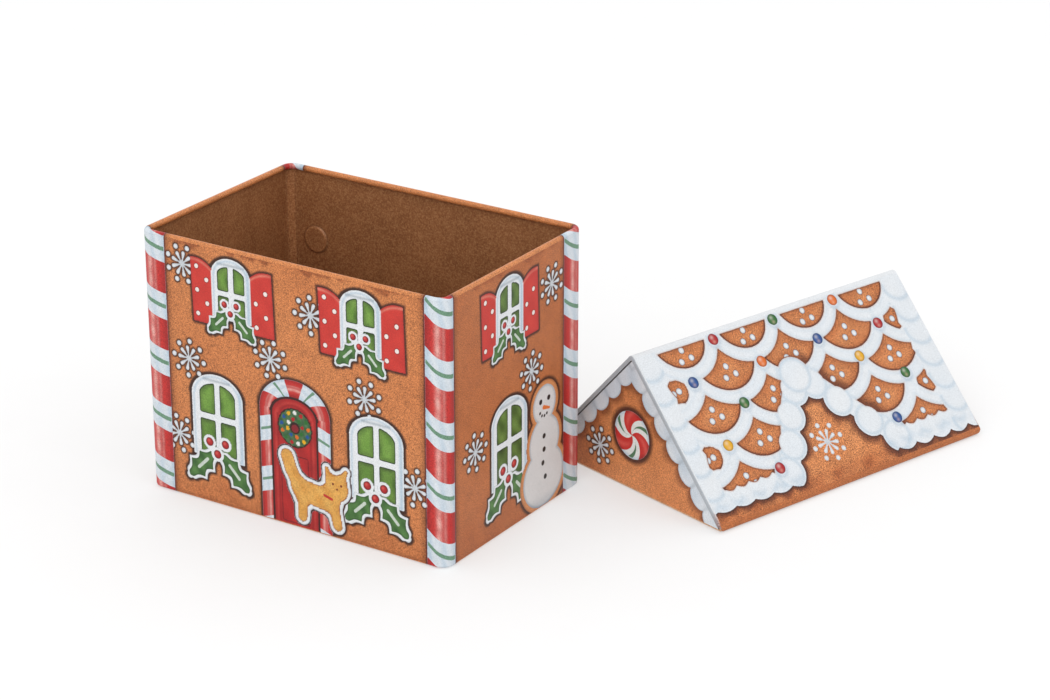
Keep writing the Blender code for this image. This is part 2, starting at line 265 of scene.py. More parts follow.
def drift(u: Array, v: Array, size: float, seed: float) -> Array:
    """Slow uneven variation from -1 to 1: a product of sines at unrelated pitches."""
    return (np.sin(u / size + seed) * np.sin(v / (size * 0.83) + seed * 1.7)
            + np.sin((u + 0.6 * v) / (size * 0.57) + seed * 2.3) * 0.6) / 1.6


# ---------------------------------------------------------------------------------------------------
# Artboard
# ---------------------------------------------------------------------------------------------------

class Artboard:
    """Artwork over a set of places: a soft base colour and four layers of clean-edged ink."""

    def __init__(self, across: Array, up: Array, ground: Steps, grain: float) -> None:
        """Lay the base colour and leave every layer empty.

        Args:
            across: millimetres to the right, one per place.
            up: millimetres upward, one per place.
            ground: the base colour.
            grain: how strongly the speckle shows in the base, from 0 to 1.
        """
        self.u = across.ravel().astype(np.float32)
        self.v = up.ravel().astype(np.float32)
        count = self.u.size
        self.base = np.tile(linear(ground), (count, 1))
        self.ink = np.zeros((len(Layer), count, 3), dtype=np.float32)
        self.edge = np.full((len(Layer), count), FAR, dtype=np.float32)
        self.grain = np.full(count, grain, dtype=np.float32)

    def wash(self, share: Array, ink: Ink) -> None:
        """Mix an ink softly into the base by a share per place."""
        self.base = blend(self.base, ink, share).astype(np.float32)

    def paint(self, layer: Layer, distance: Array, ink: Ink, grain: float = 0.25) -> None:
        """Lay a shape down on a layer, hiding what the layers above hold inside it.

        Args:
            layer: the layer it goes on.
            distance: signed distance to the shape's edge in millimetres, negative inside.
            ink: its colour.
            grain: how strongly the speckle shows in it.
        """
        colour = linear(ink)
        for upper in range(layer + 1, len(Layer)):
            self.edge[upper] = np.maximum(self.edge[upper], -distance)
        taken = (distance < 0.0) | (distance < self.edge[layer])
        self.ink[layer][taken] = colour[taken] if colour.ndim == 2 else colour
        self.edge[layer] = np.minimum(self.edge[layer], distance)
        self.grain[distance < 0.0] = grain

    def outline(self, distance: Array, width: float, ink: Ink = OUTLINE, strength: float = 0.95,
                soft: float = 0.9) -> None:
        """Draw a dark hand-inked line in the base round a shape, fading outward."""
        self.wash(strength * (1.0 - ease(width, width + soft, distance)), ink)

    def store(self, mesh: bpy.types.Mesh) -> None:
        """Write the artwork to a mesh as point attributes, one layer at a time."""
        write_layer(mesh, "ground", self.base, 0.3)
        write_layer(mesh, "grain", self.grain, 1.0)
        for layer in Layer:
            name = layer.name.lower()
            write_layer(mesh, f"ink_{name}", self.ink[layer], 0.3)
            write_layer(mesh, f"edge_{name}", np.clip(self.edge[layer], -4.0, 4.0), 4.0)


def write_layer(mesh: bpy.types.Mesh, name: str, values: Array, fill: float) -> None:
    """Write a colour or a number per vertex as a point attribute.

    Args:
        mesh: the mesh.
        name: the attribute's name.
        values: one number or colour per vertex, from the first vertex on.
        fill: what the vertices past the last value get.
    """
    full = np.full((len(mesh.vertices),) + values.shape[1:], fill, dtype=np.float32)
    full[:len(values)] = values
    if full.ndim == 1:
        mesh.attributes.new(name, "FLOAT", "POINT").data.foreach_set("value", full)
        return
    alpha = np.ones((len(full), 1), dtype=np.float32)
    colour = np.concatenate([full, alpha], axis=1)
    mesh.attributes.new(name, "FLOAT_COLOR", "POINT").data.foreach_set("color", colour.ravel())


# ---------------------------------------------------------------------------------------------------
# Finishes
# ---------------------------------------------------------------------------------------------------

class Tree:
    """A material's node tree with short ways to add and join nodes."""

    def __init__(self, name: str) -> None:
        """Start a material round its own shader."""
        self.material = bpy.data.materials.new(name)
        self.material.use_nodes = True
        self.nodes = self.material.node_tree.nodes
        self.links = self.material.node_tree.links
        self.shader = self.nodes["Principled BSDF"]

    def add(self, kind: str, **values: object) -> bpy.types.Node:
        """Add a node and set its properties.

        Args:
            kind: the node's type.
            values: its properties.

        Returns:
            The node.
        """
        node = self.nodes.new(kind)
        for key, value in values.items():
            setattr(node, key, value)
        return node

    def join(self, source: bpy.types.NodeSocket, target: bpy.types.NodeSocket) -> None:
        """Link two sockets."""
        self.links.new(source, target)

    def feed(self, socket: bpy.types.NodeSocket, value: object) -> None:
        """Set a socket to a number or link it to another socket.

        Args:
            socket: an input.
            value: a number, a colour or an output.
        """
        if isinstance(value, bpy.types.NodeSocket):
            self.join(value, socket)
        else:
            socket.default_value = value

    def math(self, operation: str, first: object, second: object = 0.0, third: object = 0.0,
             clamp: bool = False) -> bpy.types.NodeSocket:
        """Add a Math node and return its result.

        Args:
            operation: what it works out.
            first, second, third: its inputs, as numbers or sockets.
            clamp: whether the result is kept between 0 and 1.

        Returns:
            The result.
        """
        node = self.add("ShaderNodeMath", operation=operation, use_clamp=clamp)
        for socket, value in zip(node.inputs, (first, second, third)):
            self.feed(socket, value)
        return node.outputs[0]

    def mix(self, share: object, under: object, over: object,
            blend_type: str = "MIX") -> bpy.types.NodeSocket:
        """Add a colour Mix node and return its result.

        Args:
            share: how much of the upper colour, as a number or a socket.
            under: the lower colour.
            over: the upper colour.
            blend_type: how they mix.

        Returns:
            The mixed colour.
        """
        node = self.add("ShaderNodeMix", data_type="RGBA", blend_type=blend_type)
        self.feed(node.inputs[0], share)
        self.feed(node.inputs[6], under)
        self.feed(node.inputs[7], over)
        return node.outputs[2]

    def scale(self, colour: bpy.types.NodeSocket, factor: bpy.types.NodeSocket) -> bpy.types.NodeSocket:
        """Multiply a colour by a number, which may be above 1.

        Args:
            colour: the colour.
            factor: the number.

        Returns:
            The product.
        """
        node = self.add("ShaderNodeVectorMath", operation="SCALE")
        self.join(colour, node.inputs[0])
        self.join(factor, node.inputs["Scale"])
        return node.outputs[0]

    def noise(self, scale: float, detail: float, roughness: float = 0.5) -> bpy.types.NodeSocket:
        """Add a noise texture on Object coordinates, with its scale in features per metre.

        Args:
            scale: features per metre.
            detail: the number of finer octaves.
            roughness: how strong those are.

        Returns:
            The noise, from 0 to 1.
        """
        place = self.add("ShaderNodeTexCoord")
        node = self.add("ShaderNodeTexNoise")
        node.inputs["Scale"].default_value = scale
        node.inputs["Detail"].default_value = detail
        node.inputs["Roughness"].default_value = roughness
        self.join(place.outputs["Object"], node.inputs["Vector"])
        return node.outputs["Fac"]

    def attribute(self, name: str, output: str) -> bpy.types.NodeSocket:
        """Read a point attribute."""
        return self.add("ShaderNodeAttribute", attribute_name=name).outputs[output]

    def bump(self, height: bpy.types.NodeSocket, strength: float, distance: float) -> None:
        """Drive the shader's normal by a height.

        Args:
            height: the height.
            strength: how strongly it shows.
            distance: what a height of 1 stands for, in metres.
        """
        node = self.add("ShaderNodeBump")
        node.inputs["Strength"].default_value = strength
        node.inputs["Distance"].default_value = distance
        self.join(height, node.inputs["Height"])
        self.join(node.outputs["Normal"], self.shader.inputs["Normal"])


@dataclass(frozen=True)
class PrintFinish:
    """Litho print under satin varnish, coloured by the artboard's attributes."""

    name: str
    roughness: float = 0.42
    coat: float = 0.06
    feather: float = 0.22              # mm over which an ink edge turns
    wobble: float = 0.35               # mm that an ink edge strays
    speckle: float = 1.55
    speckle_scale: float = 2200.0      # per metre
    tone: float = 0.74                 # overall strength of the inks under the varnish

    def make(self) -> bpy.types.Material:
        """Stack the ink layers, add the paper-like speckle and the varnish.

        Returns:
            The material.
        """
        tree = Tree(self.name)
        stray = tree.noise(520.0, 3.0)
        offset = tree.math("MULTIPLY", tree.math("SUBTRACT", stray, 0.5), self.wobble)
        colour = tree.attribute("ground", "Color")
        for layer in Layer:
            name = layer.name.lower()
            edge = tree.math("ADD", tree.attribute(f"edge_{name}", "Fac"), offset)
            cover = tree.math("MULTIPLY_ADD", edge, -1.0 / self.feather, 0.5, clamp=True)
            colour = tree.mix(cover, colour, tree.attribute(f"ink_{name}", "Color"))
        fine = tree.noise(self.speckle_scale, 2.0, 0.7)
        patch = tree.noise(140.0, 4.0, 0.6)
        amount = tree.math("MULTIPLY", tree.attribute("grain", "Fac"), self.speckle)
        swing = tree.math("MULTIPLY", tree.math("SUBTRACT", fine, 0.5), amount)
        slow = tree.math("MULTIPLY", tree.math("SUBTRACT", patch, 0.5), tree.math("MULTIPLY", amount, 0.14))
        gain = tree.math("MULTIPLY_ADD", tree.math("ADD", swing, slow), 2.0 * self.tone, self.tone)
        tree.join(tree.scale(colour, gain), tree.shader.inputs["Base Color"])
        rough = tree.math("MULTIPLY_ADD", patch, 0.12, self.roughness - 0.06)
        tree.join(rough, tree.shader.inputs["Roughness"])
        tree.shader.inputs["Coat Weight"].default_value = self.coat
        tree.shader.inputs["Coat Roughness"].default_value = 0.22
        tree.shader.inputs["Specular IOR Level"].default_value = 0.22
        tree.bump(tree.math("ADD", fine, tree.math("MULTIPLY", patch, 3.0)), 0.06, 0.00004)
        return tree.material


@dataclass(frozen=True)
class LacquerFinish:
    """Gold-brown satin lacquer with a fine fleck, over tinplate, darker where a piece says "shadow"."""

    name: str
    pale: Steps = (170, 116, 74)
    deep: Steps = (132, 84, 50)
    fleck: Steps = (196, 146, 100)
    roughness: float = 0.46
    metallic: float = 0.25

    def make(self) -> bpy.types.Material:
        """Mix two browns by slow noise and scatter pale flecks.

        Returns:
            The material.
        """
        tree = Tree(self.name)
        cloud = tree.noise(60.0, 4.0, 0.6)
        fine = tree.noise(1200.0, 2.0, 0.7)
        colour = tree.mix(cloud, opaque(self.deep), opaque(self.pale))
        flecked = tree.math("MULTIPLY_ADD", fine, 6.0, -3.0, clamp=True)
        colour = tree.mix(tree.math("MULTIPLY", flecked, 0.5), colour, opaque(self.fleck))
        dark = tree.math("MULTIPLY_ADD", fine, -6.0, 2.9, clamp=True)
        colour = tree.mix(tree.math("MULTIPLY", dark, 0.42), colour, opaque(self.deep), "MULTIPLY")
        light = tree.math("SUBTRACT", 1.0, tree.attribute("shadow", "Fac"))
        tree.join(tree.scale(colour, light), tree.shader.inputs["Base Color"])
        rough = tree.math("MULTIPLY_ADD", fine, 0.2, self.roughness - 0.1)
        tree.join(rough, tree.shader.inputs["Roughness"])
        tree.shader.inputs["Metallic"].default_value = self.metallic
        tree.bump(fine, 0.15, 0.00005)
        return tree.material


@dataclass(frozen=True)
class FloorFinish:
    """Matt pale floor that is lit a little from below, as a light table is."""

    name: str
    tone: float = 0.45
    glow: float = 0.95                 # share of its tone that it gives out by itself
    fibre_tone: float = 0.985          # how much darker its fibres are

    def make(self) -> bpy.types.Material:
        """One pale tone with a trace of fibre.

        Returns:
            The material.
        """
        tree = Tree(self.name)
        fibre = tree.noise(30.0, 3.0)
        deep = self.tone * self.fibre_tone
        colour = tree.mix(fibre, (self.tone, self.tone, self.tone, 1.0), (deep, deep, deep, 1.0))
        tree.join(colour, tree.shader.inputs["Base Color"])
        tree.join(colour, tree.shader.inputs["Emission Color"])
        tree.shader.inputs["Emission Strength"].default_value = self.glow
        tree.shader.inputs["Roughness"].default_value = 0.9
        tree.shader.inputs["Specular IOR Level"].default_value = 0.1
        return tree.material


WALL_PRINT = PrintFinish("wall_print")
ROOF_PRINT = PrintFinish("roof_print", tone=0.72)
# painted light: the gable print's inks are stronger than the walls', so the gables come out brighter
BRIGHTENED_GABLE_PRINT = PrintFinish("gable_print", tone=0.82)
INSIDE_LACQUER = LacquerFinish("inside_lacquer")
LID_LACQUER = LacquerFinish("lid_lacquer")
GABLE_EDGE = LacquerFinish("gable_edge", (208, 166, 128), (180, 134, 96), (228, 196, 164), 0.4, 0.1)
STUDIO_CARD = FloorFinish("studio_card")


# ---------------------------------------------------------------------------------------------------
# Meshes
# ---------------------------------------------------------------------------------------------------

def grid_quads(columns: int, rows: int, columns_close: bool = False, rows_close: bool = False) -> Array:
    """Quads of a grid whose vertex (i, j) is i * rows + j; either way may join its end to its start.

    Args:
        columns: vertices one way.
        rows: vertices the other way.
        columns_close: whether the last column joins the first.
        rows_close: whether the last row joins the first.

    Returns:
        Four vertex numbers per quad.
    """
    i = np.arange(columns if columns_close else columns - 1)[:, None]
    j = np.arange(rows if rows_close else rows - 1)[None, :]
    right = (i + 1) % columns
    above = (j + 1) % rows
    corners = [i * rows + j, right * rows + j, right * rows + above, i * rows + above]
    return np.stack(np.broadcast_arrays(*corners), axis=-1).reshape(-1, 4)


def new_piece(name: str, points: Array, faces: Faces, materials: list[bpy.types.Material],
              kinds: Array | None = None, sharp: float = 32.0) -> bpy.types.Object:
    """Put computed points and faces into a piece at the origin.

    Args:
        name: the piece's name.
        points: vertices in metres, one row each.
        faces: lists of vertex numbers, anticlockwise seen from outside.
        materials: the finishes it carries.
        kinds: which of them each face takes, if there is more than one.
        sharp: angle in degrees beyond which an edge is kept crisp.

    Returns:
        The piece.
    """
    mesh = bpy.data.meshes.new(name)
    mesh.from_pydata(points.tolist(), [], faces)
    for material in materials:
        mesh.materials.append(material)
    if kinds is not None:
        mesh.polygons.foreach_set("material_index", kinds.astype(np.int32))
    mesh.shade_smooth()
    mesh.set_sharp_from_angle(angle=math.radians(sharp))
    mesh.update()
    piece = bpy.data.objects.new(name, mesh)
    bpy.context.scene.collection.objects.link(piece)
    return piece


def dress(node: str, material: bpy.types.Material) -> None:
    """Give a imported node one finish.

    Args:
        node: the node's name.
        material: the finish.
    """
    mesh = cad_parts[node].data
    mesh.materials.clear()
    mesh.materials.append(material)


def thin_sheet(face: Array, back: Array, full_back: bool = False) -> tuple[Array, Faces]:
    """Closed thin sheet from a grid of places on its face and the matching places on its back.

    The back keeps only the grid's border, spanned by one long strip per column, unless it dips with
    the face and needs the whole grid.

    Args:
        face: points (columns, rows, 3), columns to the right and rows upward seen from outside.
        back: the points behind them.
        full_back: whether the back is a whole grid too.

    Returns:
        Points, and faces that close them.
    """
    columns, rows = face.shape[:2]
    count = columns * rows
    bottom = np.arange(columns) * rows
    right = (columns - 1) * rows + np.arange(1, rows)
    top = (np.arange(columns - 1)[::-1]) * rows + rows - 1
    left = np.arange(1, rows - 1)[::-1]
    border = np.concatenate([bottom, right, top, left])
    size = border.size
    quads = grid_quads(columns, rows)
    if full_back:
        points = np.concatenate([face.reshape(-1, 3), back.reshape(-1, 3)])
        behind = border + count
        backs = (quads[:, ::-1] + count).tolist()
    else:
        points = np.concatenate([face.reshape(-1, 3), back.reshape(-1, 3)[border]])
        behind = np.arange(size) + count
        low = behind[:columns]
        high = behind[columns + rows - 2:columns + rows - 2 + columns][::-1]
        backs = np.stack([low[:-1], high[:-1], high[1:], low[1:]], axis=-1).tolist()
        left_up = behind[2 * columns + rows - 2:][::-1].tolist()
        right_down = behind[columns:columns + rows - 2][::-1].tolist()
        backs[0] = [backs[0][0]] + left_up + backs[0][1:]
        backs[-1] = backs[-1][:3] + right_down + backs[-1][3:]
    following = np.roll(np.arange(size), -1)
    sides = np.stack([border, behind, behind[following], border[following]], axis=-1)
    return points, quads.tolist() + backs + sides.tolist()


def folded_profile(start: Spot, heading: float, moves: list[tuple[float, float]],
                   step: float, run_step: float = FAR) -> tuple[Array, Array]:
    """Follow straight runs and arcs in a plane, as sheet is folded.

    Args:
        start: first point.
        heading: first direction, in radians from the first axis towards the second.
        moves: pairs (length, 0) for a run, or (radius, turn) for an arc, with a left turn positive.
        step: largest turn between points of an arc, in radians.
        run_step: largest gap between points of a run.

    Returns:
        Points (n, 2) and the unit normals on their left.
    """
    places = [np.array(start, dtype=float)]
    headings = [heading]
    for size, turn in moves:
        here = places[-1]
        if turn == 0.0:
            count = max(1, math.ceil(size / run_step))
            ahead = np.array([math.cos(heading), math.sin(heading)])
            places += [here + ahead * size * (k + 1) / count for k in range(count)]
            headings += [heading] * count
            continue
        side = math.copysign(1.0, turn)
        count = max(2, math.ceil(abs(turn) / step))
        middle = here + np.array([-math.sin(heading), math.cos(heading)]) * size * side
        for k in range(1, count + 1):
            angle = heading + turn * k / count
            places.append(middle - np.array([-math.sin(angle), math.cos(angle)]) * size * side)
            headings.append(angle)
        heading += turn
    angles = np.array(headings)
    return np.array(places), np.stack([-np.sin(angles), np.cos(angles)], axis=-1)


# ---------------------------------------------------------------------------------------------------
# Motifs
# ---------------------------------------------------------------------------------------------------

def snowflake(board: Artboard, centre: Spot, size: float = 1.0, turn: float = 0.0) -> None:
    """Piped snowflake: nine club-shaped arms and a ring of eight drops.

    Args:
        board: the artboard.
        centre: its middle.
        size: its size, 1 being 9.9 mm from the middle to the drops' far side.
        turn: its turn in radians.
    """
    reach, aside = rosette(board.u, board.v, centre, 9, turn)
    arms = np.minimum(stroke(reach, aside, (0.0, 0.0), (4.0 * size, 0.0), 0.36 * size),
                      stroke(reach, aside, (3.0 * size, 0.0), (5.3 * size, 0.0), 0.5 * size, 0.98 * size))
    reach, aside = rosette(board.u, board.v, centre, 8, turn + 0.4)
    drops = disc(reach, aside, (8.6 * size, 0.0), 1.25 * size)
    shape = np.minimum(arms, drops)
    board.outline(shape, 0.4, strength=0.88, soft=0.8)
    shade = blend(ICING, ICING_GREY, 0.4 * ease(-0.9, -0.1, shape))
    board.paint(Layer.DETAIL, shape, shade)


def holly_leaf(u: Array, v: Array, root: Spot, tip: Spot,
               width: float) -> Array:
    """Distance to a holly leaf: half-width sin(pi t)^0.55 less scallops that meet in spikes.

    Args:
        u, v: the places, across and up.
        root: where the leaf begins.
        tip: where it ends.
        width: its greatest half-width.

    Returns:
        Signed distance in millimetres.
    """
    axis = np.array(tip) - np.array(root)
    length = float(np.hypot(*axis))
    axis = axis / length
    along = (u - root[0]) * axis[0] + (v - root[1]) * axis[1]
    aside = np.abs((v - root[1]) * axis[0] - (u - root[0]) * axis[1])
    part = np.clip(along / length, 0.001, 0.999)
    reach = width * np.sin(math.pi * part) ** 0.55 * (1.0 - 0.42 * wave(part, 1.0 / 3.0))
    past_end = np.maximum(np.abs(along / length - 0.5) - 0.5, 0.0) * length
    return np.hypot(np.maximum(aside - reach, 0.0), past_end) + np.minimum(aside - reach, 0.0) * 0.8


def holly(board: Artboard, heart: Spot, size: float, lean: float = 0.0) -> None:
    """Sprig of two holly leaves and three berries, all piped round with icing.

    Args:
        board: the artboard.
        heart: the middle between the berries.
        size: its size, 1 being berries of 2 mm radius.
        lean: how far the left tip is raised and the right one lowered.
    """
    u, v = board.u, board.v
    tips = [(heart[0] - 15.8 * size, heart[1] - (14.8 - lean) * size),
            (heart[0] + 15.8 * size, heart[1] - (15.8 + lean) * size)]
    roots = [(heart[0] - 2.0 * size, heart[1] - 1.5 * size), (heart[0] + 2.0 * size, heart[1] - 1.5 * size)]
    spots = [(heart[0] - 4.4 * size, heart[1] + 3.2 * size), (heart[0] + 4.0 * size, heart[1] + 3.6 * size),
             (heart[0] - 0.4 * size, heart[1] - 1.8 * size)]
    leaves = [holly_leaf(u, v, root, tip, 5.6 * size) for root, tip in zip(roots, tips)]
    berries = [disc(u, v, spot, 2.0 * size) for spot in spots]
    piping = np.minimum(np.minimum(*leaves) - 1.5 * size, np.minimum.reduce(berries) - 1.35 * size)
    board.outline(piping, 0.8, strength=0.95, soft=1.4)
    board.paint(Layer.DETAIL, piping, blend(ICING, ICING_GREY, 0.5 * ease(-0.7, 0.0, piping)))
    for leaf, root, tip in zip(leaves, roots, tips):
        tone = blend(LEAF, LEAF_PALE, 0.5 + 0.5 * drift(u, v, 1.7, root[0]))
        board.paint(Layer.ACCENT, leaf, blend(tone, (46, 78, 40), 0.8 * ease(-0.9, -0.1, leaf)))
        start = tuple(root[k] + (tip[k] - root[k]) * 0.28 for k in range(2))
        end = tuple(root[k] + (tip[k] - root[k]) * 0.64 for k in range(2))
        board.paint(Layer.TOP, stroke(u, v, start, end, 0.72 * size), (206, 216, 204))
    for berry, spot in zip(berries, spots):
        board.paint(Layer.DETAIL, berry - 1.3 * size, ICING)
        tone = blend(BERRY, (104, 26, 30), ease(-0.9, -0.1, berry))
        tone = blend(tone, (226, 92, 84), bump_at(np.hypot(u - spot[0] + 0.5, v - spot[1] - 0.5), 0.0, 0.8))
        board.paint(Layer.ACCENT, berry, tone)


@dataclass(frozen=True)
class WindowPlan:
    """Sizes of one kind of arched window, in millimetres up the wall."""

    half_width: float
    bottom: float
    spring: float
    top: float
    pane_reach: float
    upper_pane: Span
    lower_pane: Span
    holly_drop: float
    holly_size: float
    bar: float = 1.9


HIGH_WINDOW = WindowPlan(11.2, 95.0, 116.5, 125.2, 7.4, (109.3, 120.8), (96.5, 106.0), 4.8, 0.82)
LOW_WINDOW = WindowPlan(14.9, 23.5, 54.5, 66.0, 10.0, (46.0, 61.0), (26.0, 42.2), 4.2, 1.1)


def window(board: Artboard, centre: float, plan: WindowPlan, light: Ink = PANE) -> None:
    """Arched icing window frame with four green panes and a sprig of holly at its sill.

    Args:
        board: the artboard.
        centre: where its middle line stands.
        plan: its sizes.
        light: the ink of its panes.
    """
    u, v = board.u, board.v
    frame_edge = arch(u, v, centre, plan.half_width, plan.bottom, plan.spring, plan.top)
    board.outline(frame_edge, 0.95, strength=0.97, soft=1.1)
    tone = blend(ICING, ICING_SHADE, 0.75 * bump_at(frame_edge, -1.2, 0.55))
    tone = blend(tone, ICING_SHADE, 0.8 * bump_at(u - centre, plan.half_width - 1.6, 1.0))
    tone = blend(tone, ICING_GREY, 0.6 * bump_at(v, plan.top - 3.2, 0.7) * (np.abs(u - centre) < 8.0))
    board.paint(Layer.SHAPE, frame_edge, tone)
    crown = arch(u, v, centre, plan.pane_reach, plan.bottom, plan.spring, plan.upper_pane[1])
    for low, high in (plan.upper_pane, plan.lower_pane):
        for side in (-1.0, 1.0):
            near, far = sorted((centre + side * plan.bar, centre + side * plan.pane_reach))
            pane = np.maximum(slab(u, v, (near, low), (far, high), 0.5), crown)
            board.paint(Layer.DETAIL, pane - 0.45, PANE_DARK)
            glass = blend(light, PANE_DARK, 0.55 * ease(-2.6, -0.2, pane))
            glass = blend(glass, PANE_DARK, 0.75 * ease(1.6, 0.2, high - v))
            glass = blend(glass, (150, 186, 92), 0.22 + 0.22 * drift(u, v, 2.3, near))
            glass = blend(glass, PANE_DARK, np.full_like(u, 0.25 if low < plan.upper_pane[0] else 0.0))
            board.paint(Layer.ACCENT, pane, glass, grain=0.4)
    holly(board, (centre - 0.6, plan.bottom + plan.holly_drop), plan.holly_size)


def shutters(board: Artboard, centre: float, plan: WindowPlan, bottom: float = 91.0,
             top: float = 122.8, width: float = 12.6) -> None:
    """Red shutters with icing dots, one each side of a window, their tops falling toward it.

    Args:
        board: the artboard.
        centre: the window's middle line.
        plan: the window's sizes.
        bottom: height of their feet.
        top: height of their outer corners.
        width: width of each.
    """
    u, v = board.u, board.v
    for side in (-1.0, 1.0):
        inner = centre + side * (plan.half_width - 0.6)
        outer = inner + side * width
        toward = np.clip((u - outer) / (inner - outer), 0.0, 1.0)
        left, right = sorted((inner, outer))
        body = slab(u + 0.03 * (v - top), v, (left, bottom), (right, top + 3.0), 0.4)
        panel = np.maximum(body, v - (top - 4.6 * toward ** 2.6 - 0.6 * (1.0 - toward) ** 3))
        board.outline(panel, 0.6, (70, 30, 24), soft=1.3)
        tone = blend(SHUTTER_RED, CANE_RED_DARK, 0.45 * ease(-1.2, 0.0, panel))
        tone = blend(tone, (238, 150, 128), 0.75 * bump_at(v - (top - 1.4 - 4.6 * toward ** 2.6), 0.0, 0.6))
        tone = blend(tone, (186, 46, 42), 0.3 + 0.3 * drift(u, v, 3.1, side))
        board.paint(Layer.SHAPE, panel, tone)
        middle = (inner + outer) / 2
        for step in range(5 if side < 0 else 4):
            spot = (middle + (2.8 if step % 2 else -2.8), bottom + 4.0 + 5.8 * step)
            board.paint(Layer.DETAIL, disc(u, v, spot, 1.5), (150, 40, 38))
            board.paint(Layer.ACCENT, disc(u, v, spot, 1.12), (244, 232, 226))


def cane_ink(rise: Array, depth: Array) -> tuple[Array, Array]:
    """Colours of striped cane: darker toward its sides, with a gloss line near its middle.

    Args:
        rise: millimetres along the cane.
        depth: share across the cane, 0 at its left edge to 1 at its right.

    Returns:
        The cane's shaded white and its shaded red.
    """
    shade = (0.3 + 0.15 * drift(depth * 20.0, rise, 1.4, 2.0) + 0.6 * bump_at(depth, 0.05, 0.13)
             + 0.5 * bump_at(depth, 0.98, 0.12) + 0.35 * bump_at(depth, 0.55, 0.1))
    white = blend(ICING, ICING_SHADE, shade)
    red = blend(CANE_RED, CANE_RED_DARK, 0.8 * bump_at(depth, 0.02, 0.15)
                + 0.7 * bump_at(depth, 0.98, 0.16) + 0.35 * bump_at(depth, 0.6, 0.09))
    gloss = 0.75 + 0.25 * drift(depth * 14.0, rise, 1.6, 1.0)
    gloss = gloss * (0.75 * bump_at(depth, 0.43, 0.09) + 0.35 * bump_at(depth, 0.62, 0.05))
    return white, blend(red, (244, 200, 190), gloss)


def bands(value: Array, pitch: float, half_width: float) -> Array:
    """Distance to the nearest of the bands that are centred on the multiples of a pitch."""
    return np.abs(value - pitch * np.round(value / pitch)) - half_width


@dataclass(frozen=True)
class Corner:
    """A striped column round one upright corner, measured from the corner's middle line."""

    reach_left: float
    reach_right: float
    drop: float
    first_red: float
    pitch: float = 29.5
    red_half: float = 7.7              # half the height of a red band
    green_half: float = 1.05           # half the height of the thin green stripe between two of them


def column(board: Artboard, c: Array, v: Array, corner: Corner) -> None:
    """Paint a candy-cane column: bands that fall from left to right and flatten, with thin green stripes.

    Args:
        board: the artboard.
        c: millimetres right of the corner's middle line.
        v: height.
        corner: the column's reach and stripes.
    """
    width = corner.reach_left + corner.reach_right
    depth = (c + corner.reach_left) / width
    edge = np.abs(depth - 0.5) * width - width / 2
    fall = corner.drop * (1.0 - np.clip(depth, 0.0, 1.0)) ** 1.8
    rise = v - fall - corner.first_red
    board.wash(0.55 * (1.0 - ease(0.0, 4.5, edge)), CRUST)
    board.outline(edge, 0.5, (96, 40, 34), 0.9, 0.7)
    white, red = cane_ink(rise, depth)
    board.paint(Layer.SHAPE, edge, white)
    broad = bands(rise, corner.pitch, corner.red_half)
    board.paint(Layer.DETAIL, np.maximum(broad, edge), red, grain=0.6)
    stripe = bands(rise - corner.pitch / 2, corner.pitch, corner.green_half)
    board.paint(Layer.DETAIL, np.maximum(stripe, edge + 0.3), CANE_GREEN, grain=0.6)


def door(board: Artboard, centre: float) -> None:
    """Red door under a striped cane arch, with a fruit wreath and a cookie animal before it.

    Args:
        board: the artboard.
        centre: where its middle line stands.
    """
    u, v = board.u, board.v
    spring = 57.0
    outer = arch(u, v, centre, 20.0, -5.0, spring, 73.5)
    inner = arch(u, v, centre - 0.4, 12.4, -5.0, spring - 1.5, 64.0)
    board.outline(outer, 0.6, soft=1.6)
    bend = np.arctan2(np.maximum(v - spring, 0.0), np.abs(u - centre) + 0.01)
    slant = np.where(u < centre, -0.35, 0.35) * (u - centre) * np.cos(bend)
    run = np.where(v > spring, spring + 21.3 * bend, v) + slant
    share = np.clip((outer + 8.0) / 8.0, 0.0, 1.0)
    white, red = cane_ink(run, share)
    board.paint(Layer.SHAPE, outer, white)
    pitch = 25.5
    first_red = 14.0
    board.paint(Layer.DETAIL, np.maximum(bands(run - first_red, pitch, 6.5), outer), red)
    stripe = bands(run - first_red - pitch / 2, pitch, 0.7)
    board.paint(Layer.DETAIL, np.maximum(stripe, outer + 0.4), CANE_GREEN)
    board.paint(Layer.DETAIL, inner - 1.1, (62, 26, 24))
    wood = blend(DOOR_RED, (128, 26, 30), 0.6 * bump_at(inner, -3.2, 0.5) + 0.5 * ease(-1.4, 0.0, inner))
    wood = blend(wood, (222, 92, 80), 0.35 * bump_at(inner, -1.9, 0.5))
    wood = blend(wood, (150, 30, 32), 0.35 + 0.35 * drift(u, v, 2.9, 4.0))
    board.paint(Layer.ACCENT, inner, wood)
    moulding = np.abs(slab(u, v, (centre - 8.4, 2.0), (centre + 7.0, 36.0), 1.0)) - 0.3
    board.paint(Layer.TOP, moulding, (120, 24, 28))
    wreath(board, (centre, 50.0))
    cookie_animal(board, centre)


